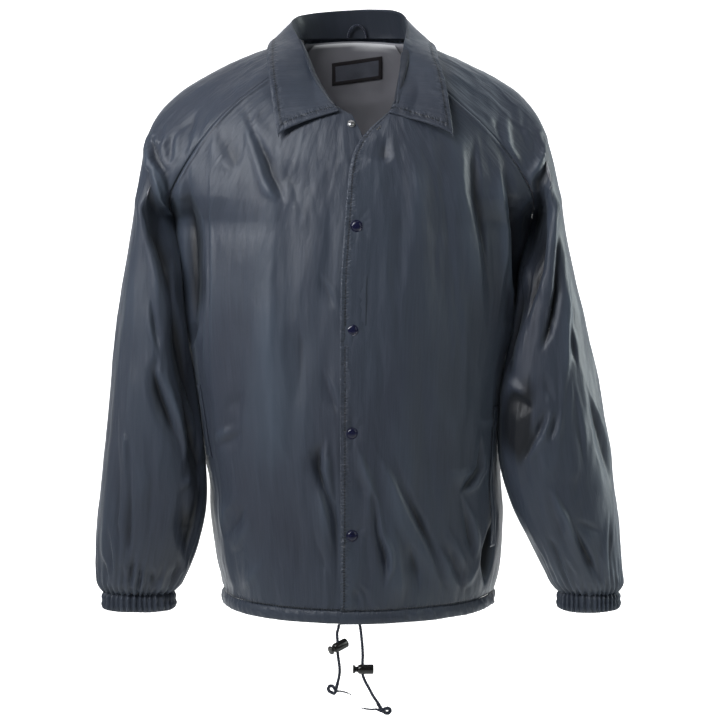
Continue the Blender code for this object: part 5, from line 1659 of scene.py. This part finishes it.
def make_locks():
    for number in (1, 2):
        step, way = LOCK[number]
        x, z = CORD_ROUTE[number][step]
        axis = Vector(way).normalized()
        place = placing(Vector((x, CORD_PLANE[number], z)) - axis * LOCK_OFFSET, axis)
        barrel = turned(f"lock_barrel_{number}", BARREL_PROFILE, 48, place, lock_plastic())
        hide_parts(f"cord_lock_barrel_{number}")
        button = turned(
            f"lock_button_head_{number}", BUTTON_PROFILE, 48, place, lock_plastic(),
            f"lock_button_{number}",
        )
        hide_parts(f"cord_lock_button_{number}")


def make_cords():
    """Twisted drawcords, each with its knot and frayed tail."""
    for number in (1, 2):
        plane = CORD_PLANE[number]
        route = smooth_route([(x, plane, z) for x, z in CORD_ROUTE[number]], CORD_STEPS[number])
        bm = bmesh.new()
        tube_mesh(bm, route, lambda share: CORD_DIAMETER / 2, 18, 3, 11.0, 0.22)
        bmesh.ops.recalc_face_normals(bm, faces=bm.faces)
        cord = as_piece(f"drawcord_{number}_twisted", bm, [cord_fibre()], merge=0.000001)
        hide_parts(f"drawcord_{number}")
        loop = [(x, plane + lift, z) for x, z, lift in KNOT[number]]
        ends = smooth_route(loop, 150)
        bm = bmesh.new()
        thick, thin = (2.3, 1.1) if number == 1 else (2.5, 1.2)
        tube_mesh(
            bm, ends, lambda share: thick + (thin - thick) * smooth_step((share - 0.62) / 0.2),
            12, 2, 7.0, 0.2,
        )
        for strand in range(7):
            spread = Vector((
                0.9 * math.sin(strand * 2.4), 1.1 * math.cos(strand * 1.9), 1.2 * math.sin(strand * 4.1)
            ))
            fray = [
                ends[-1].lerp(ends[-1] + (ends[-1] - ends[-6]).normalized() * 3.6 + spread, share / 6)
                for share in range(7)
            ]
            tube_mesh(bm, fray, lambda share: 0.4 - 0.14 * share, 6)
        bmesh.ops.recalc_face_normals(bm, faces=bm.faces)
        knot = as_piece(f"drawcord_{number}_knot", bm, [cord_fibre()], merge=0.000001)
        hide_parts(f"cord_knot_{number}")


# Finishes


class Finish:
    """A node material being put together, with short calls for its common nodes."""

    def __init__(self, name):
        self.material = bpy.data.materials.new(name)
        self.material.use_nodes = True
        self.tree = self.material.node_tree
        self.shader = self.tree.nodes["Principled BSDF"]

    def node(self, kind, **values):
        made = self.tree.nodes.new(kind)
        for key, value in values.items():
            setattr(made, key, value)
        return made

    def link(self, start, end):
        self.tree.links.new(start, end)

    def set(self, **values):
        for key, value in values.items():
            self.shader.inputs[key.replace("_", " ")].default_value = value

    def coordinates(self, output, scale):
        place = self.node("ShaderNodeTexCoord")
        mapping = self.node("ShaderNodeMapping")
        mapping.inputs["Scale"].default_value = scale
        self.link(place.outputs[output], mapping.inputs["Vector"])
        return mapping.outputs["Vector"]

    def noise(self, where, size, detail=3.0, rough=0.5):
        texture = self.node("ShaderNodeTexNoise")
        texture.inputs["Scale"].default_value = size
        texture.inputs["Detail"].default_value = detail
        texture.inputs["Roughness"].default_value = rough
        self.link(where, texture.inputs["Vector"])
        return texture.outputs["Fac"]

    def wave(self, where, size, direction="X", twist=0.0):
        texture = self.node("ShaderNodeTexWave", wave_type="BANDS", bands_direction=direction)
        texture.inputs["Scale"].default_value = size
        texture.inputs["Distortion"].default_value = twist
        self.link(where, texture.inputs["Vector"])
        return texture.outputs["Fac"]

    def spread(self, value, low, high, out_low, out_high):
        span = self.node("ShaderNodeMapRange")
        for key, number in zip(
            ("From Min", "From Max", "To Min", "To Max"), (low, high, out_low, out_high)
        ):
            span.inputs[key].default_value = number
        self.link(value, span.inputs["Value"])
        return span.outputs["Result"]

    def blend(self, share, start, end, kind="MIX"):
        mix = self.node("ShaderNodeMix", data_type="RGBA", blend_type=kind)
        for socket, value in ((mix.inputs[6], start), (mix.inputs[7], end)):
            if hasattr(value, "default_value") or isinstance(value, bpy.types.NodeSocket):
                self.link(value, socket)
            else:
                socket.default_value = (*value, 1.0)
        if isinstance(share, float):
            mix.inputs[0].default_value = share
        else:
            self.link(share, mix.inputs[0])
        return mix.outputs[2]

    def tones(self, value, low, high, most, start, end):
        """From one colour towards another as a value climbs from low to high."""
        return self.blend(self.spread(value, low, high, 0.0, most), start, end)

    def maths(self, operation, first, second=None):
        made = self.node("ShaderNodeMath", operation=operation)
        for socket, value in zip(made.inputs, (first, second)):
            if isinstance(value, bpy.types.NodeSocket):
                self.link(value, socket)
            elif value is not None:
                socket.default_value = value
        return made.outputs["Value"]

    def bump(self, height, strength, distance, under=None):
        relief = self.node("ShaderNodeBump")
        relief.inputs["Strength"].default_value = strength
        relief.inputs["Distance"].default_value = distance
        self.link(height, relief.inputs["Height"])
        if under is not None:
            self.link(under, relief.inputs["Normal"])
        return relief.outputs["Normal"]

    def colour(self, value):
        self.link(value, self.shader.inputs["Base Color"])

    def rough(self, value):
        self.link(value, self.shader.inputs["Roughness"])

    def relief(self, value):
        self.link(value, self.shader.inputs["Normal"])


def shade(colour, factor):
    return tuple(channel * factor for channel in colour)


def kept(name):
    return bpy.data.materials.get(name)


def shell_cloth():
    """Navy nylon with a satin face: fine upright streaks, painted shade in its folds and painted
    highlight on its ridges and puckers.
    """
    if kept("shell_nylon"):
        return kept("shell_nylon")
    base = tuple(colours().shell)
    nylon = Finish("shell_nylon")
    streaks = nylon.noise(nylon.coordinates("UV", (420.0, 14.0, 1.0)), 1.0, 4.0, 0.6)
    patches = nylon.noise(nylon.coordinates("Object", (9.0, 9.0, 4.5)), 1.0, 3.0, 0.55)
    fold = nylon.node("ShaderNodeAttribute", attribute_name="fold")
    tone = nylon.tones(patches, 0.35, 0.65, 1.0, shade(base, 0.86), (
        base[0] * 1.08, base[1] * 1.16, base[2] * 1.12,
    ))
    tone = nylon.tones(streaks, 0.35, 0.65, 0.3, tone, shade(base, 1.6))
    # painted shade: the colour darkens where the fold attribute sinks into a hollow
    sunk = nylon.spread(fold.outputs["Fac"], -8.5, -2.0, 0.94, 0.0)
    tone = nylon.blend(sunk, tone, shade(base, 0.16))
    # painted highlight: the colour lightens where the fold attribute rises on a ridge
    raised = nylon.spread(fold.outputs["Fac"], 0.8, 5.5, 0.0, 0.45)
    tone = nylon.blend(raised, tone, (base[0] * 1.9, base[1] * 2.1, base[2] * 2.0))
    nylon.rough(nylon.spread(streaks, 0.25, 0.75, 0.40, 0.52))
    beside = nylon.node("ShaderNodeAttribute", attribute_name="beside").outputs["Fac"]
    along = nylon.node("ShaderNodeAttribute", attribute_name="along").outputs["Fac"]
    centred = nylon.maths("SUBTRACT", beside, 2 * PUCKER_REACH)
    away = nylon.maths("ABSOLUTE", centred)
    near = nylon.spread(away, 1.0, PUCKER_REACH * 0.8, 1.0, 0.0)
    lay = nylon.node("ShaderNodeCombineXYZ")
    nylon.link(nylon.maths("MULTIPLY", along, 0.30), lay.inputs["X"])
    nylon.link(nylon.maths("MULTIPLY", centred, 0.09), lay.inputs["Y"])
    ripple = nylon.noise(lay.outputs["Vector"], 1.0, 2.0, 0.6)
    gathered = nylon.maths("MULTIPLY", near, nylon.spread(ripple, 0.3, 0.7, -1.0, 1.0))
    row = nylon.spread(away, 0.5, 1.3, 1.0, 0.0)
    dash = nylon.maths("SINE", nylon.maths("MULTIPLY", along, 2 * math.pi / 3.4))
    sewn = nylon.maths("MULTIPLY", row, nylon.spread(dash, -0.4, 0.2, 0.35, 1.0))
    # painted shade in the troughs of the puckers beside the stitches, painted highlight on their crests
    tone = nylon.blend(nylon.spread(gathered, -0.85, -0.15, 0.5, 0.0), tone, shade(base, 0.2))
    tone = nylon.tones(gathered, 0.2, 0.9, 0.25, tone, shade(base, 1.8))
    tone = nylon.blend(nylon.maths("MULTIPLY", sewn, 0.85), tone, shade(base, 0.14))
    nylon.colour(tone)
    crinkle = nylon.noise(nylon.coordinates("UV", (90.0, 26.0, 1.0)), 1.0, 5.0, 0.62)
    weave = nylon.wave(nylon.coordinates("UV", (1500.0, 1500.0, 1.0)), 1.0, "DIAGONAL")
    creased = nylon.noise(nylon.coordinates("UV", (34.0, 11.0, 1.0)), 1.0, 2.0, 0.5)
    drape = nylon.bump(gathered, 0.65, 0.001, nylon.bump(creased, 0.35, 0.004))
    soft = nylon.bump(crinkle, 0.45, 0.0018, drape)
    nylon.relief(nylon.bump(weave, 0.10, 0.0002, nylon.bump(streaks, 0.22, 0.0005, soft)))
    nylon.set(Specular_IOR_Level=0.5, Sheen_Weight=0.18, Sheen_Roughness=0.42)
    nylon.shader.inputs["Sheen Tint"].default_value = (0.75, 0.85, 0.95, 1.0)
    return nylon.material


def lining_cloth():
    """Pale mauve lining with a soft twill."""
    if kept("lining_twill"):
        return kept("lining_twill")
    base = tuple(colours().lining)
    twill = Finish("lining_twill")
    patches = twill.noise(twill.coordinates("Object", (14.0, 14.0, 9.0)), 1.0, 3.0)
    weave = twill.wave(twill.coordinates("Object", (900.0, 900.0, 900.0)), 1.0, "DIAGONAL", 1.5)
    tone = twill.tones(patches, 0.3, 0.7, 1.0, shade(base, 0.82), shade(base, 1.08))
    band = twill.node("ShaderNodeAttribute", attribute_name="band")
    tone = twill.blend(band.outputs["Fac"], tone, (0.95, 0.95, 0.96))
    twill.colour(twill.tones(weave, 0.0, 1.0, 0.25, tone, shade(base, 0.7)))
    twill.rough(twill.spread(patches, 0.2, 0.8, 0.62, 0.82))
    twill.relief(twill.bump(weave, 0.15, 0.0003, twill.bump(patches, 0.3, 0.002)))
    twill.set(Sheen_Weight=0.2, Sheen_Roughness=0.5)
    return twill.material


def label_cloth():
    """Woven label: near-black border, grey-blue middle."""
    if kept("label_weave"):
        return kept("label_weave")
    label = Finish("label_weave")
    fold = label.node("ShaderNodeAttribute", attribute_name="fold")
    weave = label.wave(label.coordinates("UV", (1600.0, 500.0, 1.0)), 1.0, "X", 0.6)
    patches = label.noise(label.coordinates("Object", (60.0, 60.0, 60.0)), 1.0)
    middle = label.tones(patches, 0.3, 0.7, 1.0, (0.12, 0.13, 0.16), (0.17, 0.18, 0.22))
    edge = label.spread(fold.outputs["Fac"], 0.1, 0.3, 0.0, 1.0)
    tone = label.blend(edge, middle, tuple(colours().label_border))
    label.colour(label.tones(weave, 0.0, 1.0, 0.3, tone, (0.10, 0.10, 0.12)))
    label.rough(label.spread(weave, 0.0, 1.0, 0.55, 0.75))
    label.relief(label.bump(weave, 0.3, 0.0003))
    return label.material


def thread():
    """Sewing thread, a little lighter than the cloth, with a twist."""
    if kept("sewing_thread"):
        return kept("sewing_thread")
    yarn = Finish("sewing_thread")
    twist = yarn.wave(yarn.coordinates("Object", (2200.0, 2200.0, 2200.0)), 1.0, "DIAGONAL")
    spots = yarn.noise(yarn.coordinates("Object", (120.0, 120.0, 120.0)), 1.0)
    tone = yarn.tones(spots, 0.3, 0.7, 1.0, (0.010, 0.012, 0.022), (0.026, 0.031, 0.046))
    yarn.colour(yarn.tones(twist, 0.0, 1.0, 0.4, tone, (0.006, 0.008, 0.014)))
    yarn.rough(yarn.spread(spots, 0.2, 0.8, 0.45, 0.65))
    yarn.relief(yarn.bump(twist, 0.4, 0.0002))
    yarn.set(Sheen_Weight=0.3)
    return yarn.material


def cord_fibre():
    """Twisted navy cord with pale flecks along its strands."""
    if kept("cord_fibre"):
        return kept("cord_fibre")
    base = tuple(colours().cord)
    cord = Finish("cord_fibre")
    flecks = cord.noise(cord.coordinates("UV", (3.0, 900.0, 1.0)), 1.0, 2.0)
    strands = cord.wave(cord.coordinates("UV", (22.0, 1400.0, 1.0)), 1.0, "DIAGONAL", 0.8)
    tone = cord.tones(strands, 0.0, 1.0, 0.6, base, shade(base, 2.4))
    cord.colour(cord.tones(flecks, 0.60, 0.68, 0.75, tone, (0.30, 0.34, 0.42)))
    cord.rough(cord.spread(strands, 0.0, 1.0, 0.55, 0.8))
    cord.relief(cord.bump(strands, 0.6, 0.0004))
    cord.set(Sheen_Weight=0.4, Sheen_Roughness=0.4)
    return cord.material


def snap_paint():
    """Painted metal cap: deep glossy navy, worn a little on its rim."""
    if kept("snap_enamel"):
        return kept("snap_enamel")
    base = tuple(colours().snap)
    paint = Finish("snap_enamel")
    patches = paint.noise(paint.coordinates("Object", (260.0, 260.0, 260.0)), 1.0, 3.0)
    tone = paint.tones(patches, 0.3, 0.7, 1.0, base, shade(base, 1.5))
    rub = paint.noise(paint.coordinates("Object", (900.0, 900.0, 900.0)), 1.0, 2.0)
    paint.colour(paint.tones(rub, 0.66, 0.74, 0.5, tone, (0.16, 0.17, 0.22)))
    paint.rough(paint.spread(patches, 0.2, 0.8, 0.14, 0.30))
    paint.relief(paint.bump(rub, 0.05, 0.0002))
    paint.set(Coat_Weight=0.6, Coat_Roughness=0.08)
    return paint.material


def snap_metal():
    """Bare nickel of the open snap."""
    if kept("snap_nickel"):
        return kept("snap_nickel")
    metal = Finish("snap_nickel")
    brushed = metal.noise(metal.coordinates("Object", (500.0, 500.0, 2500.0)), 1.0, 3.0)
    metal.colour(metal.tones(brushed, 0.3, 0.7, 1.0, (0.62, 0.62, 0.64), (0.80, 0.80, 0.82)))
    metal.rough(metal.spread(brushed, 0.2, 0.8, 0.18, 0.36))
    metal.relief(metal.bump(brushed, 0.08, 0.0002))
    metal.set(Metallic=1.0)
    return metal.material


def lock_plastic():
    """Glossy black plastic with faint handling marks."""
    if kept("lock_gloss"):
        return kept("lock_gloss")
    base = tuple(colours().lock)
    gloss = Finish("lock_gloss")
    marks = gloss.noise(gloss.coordinates("Object", (420.0, 420.0, 1300.0)), 1.0, 4.0)
    gloss.colour(gloss.tones(marks, 0.45, 0.75, 1.0, base, (0.040, 0.032, 0.028)))
    gloss.rough(gloss.spread(marks, 0.3, 0.8, 0.10, 0.28))
    gloss.relief(gloss.bump(marks, 0.06, 0.0002))
    gloss.set(Coat_Weight=0.5, Coat_Roughness=0.06)
    return gloss.material


def floor_paper():
    paper = Finish("floor_paper")
    grain = paper.noise(paper.coordinates("Object", (3.0, 3.0, 3.0)), 1.0, 4.0)
    paper.colour(paper.tones(grain, 0.3, 0.7, 1.0, (0.93, 0.93, 0.93), (0.96, 0.96, 0.96)))
    paper.rough(paper.spread(grain, 0.2, 0.8, 0.85, 0.95))
    # only the backdrop shines, so that the light on the cloth comes from the softboxes
    depth = paper.node("ShaderNodeSeparateXYZ")
    paper.link(paper.coordinates("Object", (1.0, 1.0, 1.0)), depth.inputs["Vector"])
    glow = paper.spread(depth.outputs["Y"], 0.5, 1.2, 0.0, 1.0)
    narrow = paper.spread(paper.maths("ABSOLUTE", depth.outputs["X"]), 1.3, 2.6, 1.0, 0.12)
    paper.link(paper.maths("MULTIPLY", glow, narrow), paper.shader.inputs["Emission Color"])
    paper.set(Emission_Strength=sizes().backdrop_glow)
    return paper.material


# Stage


def make_camera():
    data = bpy.data.cameras.new("photo_camera")
    camera = bpy.data.objects.new("photo_camera", data)
    bpy.context.scene.collection.objects.link(camera)
    place, aim = Vector(CAMERA_PLACE), Vector(CAMERA_AIM)
    camera.location = place
    camera.rotation_euler = (aim - place).to_track_quat("-Z", "Y").to_euler()
    data.sensor_width = SENSOR
    data.lens = SENSOR * (aim - place).length / PIXEL_AT_AIM / PHOTO_SIDE
    bpy.context.scene.camera = camera


def make_stage():
    bm = bmesh.new()
    bmesh.ops.create_grid(bm, x_segments=1, y_segments=40, size=1.0)
    for vert in bm.verts:
        run = (vert.co.y + 1) * 0.5
        if run < 0.5:
            y, z = -6.0 + 18.0 * run, 0.0
        else:
            turn = min((run - 0.5) / 0.3, 1.0) * math.pi / 2
            y = 3.0 + 2.2 * math.sin(turn)
            z = 2.2 * (1 - math.cos(turn)) + max(run - 0.8, 0) * 16.0
        vert.co = (vert.co.x * 7.0, y, FLOOR_HEIGHT + z)
    mesh = bpy.data.meshes.new("floor_sweep")
    bm.to_mesh(mesh)
    bm.free()
    floor = bpy.data.objects.new("floor_sweep", mesh)
    bpy.context.scene.collection.objects.link(floor)
    mesh.materials.append(floor_paper())
    mesh.shade_smooth()
    for name, place, aim, width, height, power, spread, colour in LIGHTS:
        data = bpy.data.lights.new(name, "AREA")
        data.shape = "RECTANGLE"
        data.size, data.size_y = width, height
        data.energy = power
        data.spread = math.radians(spread)
        data.color = colour
        lamp = bpy.data.objects.new(name, data)
        bpy.context.scene.collection.objects.link(lamp)
        lamp.location = place
        lamp.rotation_euler = (Vector(aim) - Vector(place)).to_track_quat("-Z", "Y").to_euler()
    world = bpy.data.worlds.new("studio")
    bpy.context.scene.world = world
    world.use_nodes = True
    background = world.node_tree.nodes["Background"]
    background.inputs["Color"].default_value = (1.0, 1.0, 1.0, 1.0)
    background.inputs["Strength"].default_value = sizes().surround
    bpy.context.scene.view_settings.view_transform = "Standard"


# Add-on


class JacketSizes(bpy.types.PropertyGroup):
    cloth_wall: FloatProperty(
        name="Cloth wall", description="Thickness of the shell cloth in millimetres",
        default=0.9, min=0.3, max=1.2,
    )
    fold_strength: FloatProperty(
        name="Folds", description="How deep the placed folds are, as a share", default=1.0,
        min=0.0, max=1.5, subtype="FACTOR",
    )
    surround: FloatProperty(
        name="Surround light", description="Strength of the light all round", default=0.05,
        min=0.0, max=2.0,
    )
    backdrop_glow: FloatProperty(
        name="Backdrop glow", description="How much the pale floor shines by itself",
        default=1.0, min=0.0, max=2.0,
    )


def colour_property(name, description, value):
    return FloatVectorProperty(
        name=name, description=description, default=value, size=3, min=0.0, max=1.0,
        subtype="COLOR",
    )


class JacketColours(bpy.types.PropertyGroup):
    shell: colour_property("Shell", "Navy of the nylon shell", (0.045, 0.053, 0.077))
    lining: colour_property("Lining", "Pale cloth inside the neck", (0.34, 0.335, 0.37))
    snap: colour_property("Snaps", "Paint of the snap caps", (0.006, 0.007, 0.030))
    cord: colour_property("Cords", "Drawcords and hanger loop", (0.010, 0.013, 0.032))
    lock: colour_property("Cord locks", "Plastic of the cord locks", (0.006, 0.006, 0.007))
    label_border: colour_property("Label border", "Edge of the label", (0.020, 0.014, 0.014))


def sizes():
    return bpy.context.scene.jacket_sizes


def colours():
    return bpy.context.scene.jacket_colours


class JACKET_OT_camera(bpy.types.Operator):
    """Place the camera at the photograph's viewing angle"""

    bl_idname = "jacket.camera"
    bl_label = "Camera"

    def execute(self, context):
        make_camera()
        return {"FINISHED"}


class JACKET_OT_cords(bpy.types.Operator):
    """Twist the drawcords and tie their knots"""

    bl_idname = "jacket.cords"
    bl_label = "Drawcords"

    def execute(self, context):
        make_cords()
        return {"FINISHED"}


class JACKET_OT_locks(bpy.types.Operator):
    """Turn the barrels and buttons of the cord locks"""

    bl_idname = "jacket.locks"
    bl_label = "Cord locks"

    def execute(self, context):
        make_locks()
        return {"FINISHED"}


class JACKET_OT_body(bpy.types.Operator):
    """Lay the creased fronts and back"""

    bl_idname = "jacket.body"
    bl_label = "Fronts and back"

    def execute(self, context):
        make_back()
        for side in (RIGHT, LEFT):
            make_front(side)
        return {"FINISHED"}


class JACKET_OT_sleeves(bpy.types.Operator):
    """Lay the creased sleeves"""

    bl_idname = "jacket.sleeves"
    bl_label = "Sleeves"

    def execute(self, context):
        for side in (RIGHT, LEFT):
            make_sleeve(side)
        return {"FINISHED"}


class JACKET_OT_cuffs(bpy.types.Operator):
    """Gather the elastic cuffs"""

    bl_idname = "jacket.cuffs"
    bl_label = "Cuffs"

    def execute(self, context):
        for side in (RIGHT, LEFT):
            make_cuff(side)
        return {"FINISHED"}


class JACKET_OT_hems(bpy.types.Operator):
    """Fold the puckered hem casings"""

    bl_idname = "jacket.hems"
    bl_label = "Hem casings"

    def execute(self, context):
        make_hems()
        return {"FINISHED"}


class JACKET_OT_collar(bpy.types.Operator):
    """Fold the collar over the panels"""

    bl_idname = "jacket.collar"
    bl_label = "Collar"

    def execute(self, context):
        make_collar()
        return {"FINISHED"}


class JACKET_OT_neck(bpy.types.Operator):
    """Hang the lining, the bare label and the hanger loop"""

    bl_idname = "jacket.neck"
    bl_label = "Inside of the neck"

    def execute(self, context):
        make_lining()
        make_label()
        make_hanger_loop()
        return {"FINISHED"}


class JACKET_OT_welts(bpy.types.Operator):
    """Sew the pocket welts"""

    bl_idname = "jacket.welts"
    bl_label = "Pocket welts"

    def execute(self, context):
        make_welts()
        return {"FINISHED"}


class JACKET_OT_snaps(bpy.types.Operator):
    """Set the snap caps, stud and socket"""

    bl_idname = "jacket.snaps"
    bl_label = "Snaps"

    def execute(self, context):
        make_snaps()
        return {"FINISHED"}


class JACKET_OT_stitching(bpy.types.Operator):
    """Sew the rows of topstitching"""

    bl_idname = "jacket.stitching"
    bl_label = "Topstitching"

    def execute(self, context):
        make_stitching()
        return {"FINISHED"}


class JACKET_OT_stage(bpy.types.Operator):
    """Lay the pale floor and set the studio lights"""

    bl_idname = "jacket.stage"
    bl_label = "Stage"

    def execute(self, context):
        make_stage()
        return {"FINISHED"}


STEPS = (
    JACKET_OT_camera, JACKET_OT_cords, JACKET_OT_locks, JACKET_OT_body, JACKET_OT_sleeves,
    JACKET_OT_cuffs, JACKET_OT_hems, JACKET_OT_collar, JACKET_OT_neck, JACKET_OT_welts,
    JACKET_OT_snaps, JACKET_OT_stitching, JACKET_OT_stage,
)


class JACKET_PT_panel(bpy.types.Panel):
    """Sizes, colours and steps of the coach jacket"""

    bl_label = "Coach jacket"
    bl_idname = "JACKET_PT_panel"
    bl_space_type = "VIEW_3D"
    bl_region_type = "UI"
    bl_category = "Coach jacket"

    def draw(self, context):
        layout = self.layout
        for group in (context.scene.jacket_sizes, context.scene.jacket_colours):
            for name in group.bl_rna.properties.keys():
                if name not in ("rna_type", "name"):
                    layout.prop(group, name)
        for step in STEPS:
            layout.operator(step.bl_idname)


CLASSES = (JacketSizes, JacketColours, *STEPS, JACKET_PT_panel)


def register():
    for item in CLASSES:
        bpy.utils.register_class(item)
    bpy.types.Scene.jacket_sizes = PointerProperty(type=JacketSizes)
    bpy.types.Scene.jacket_colours = PointerProperty(type=JacketColours)


def unregister():
    del bpy.types.Scene.jacket_colours
    del bpy.types.Scene.jacket_sizes
    for item in reversed(CLASSES):
        bpy.utils.unregister_class(item)


def main():
    register()
    for step in STEPS:
        group, name = step.bl_idname.split(".")
        getattr(getattr(bpy.ops, group), name)()


if __name__ == "__main__":
    main()
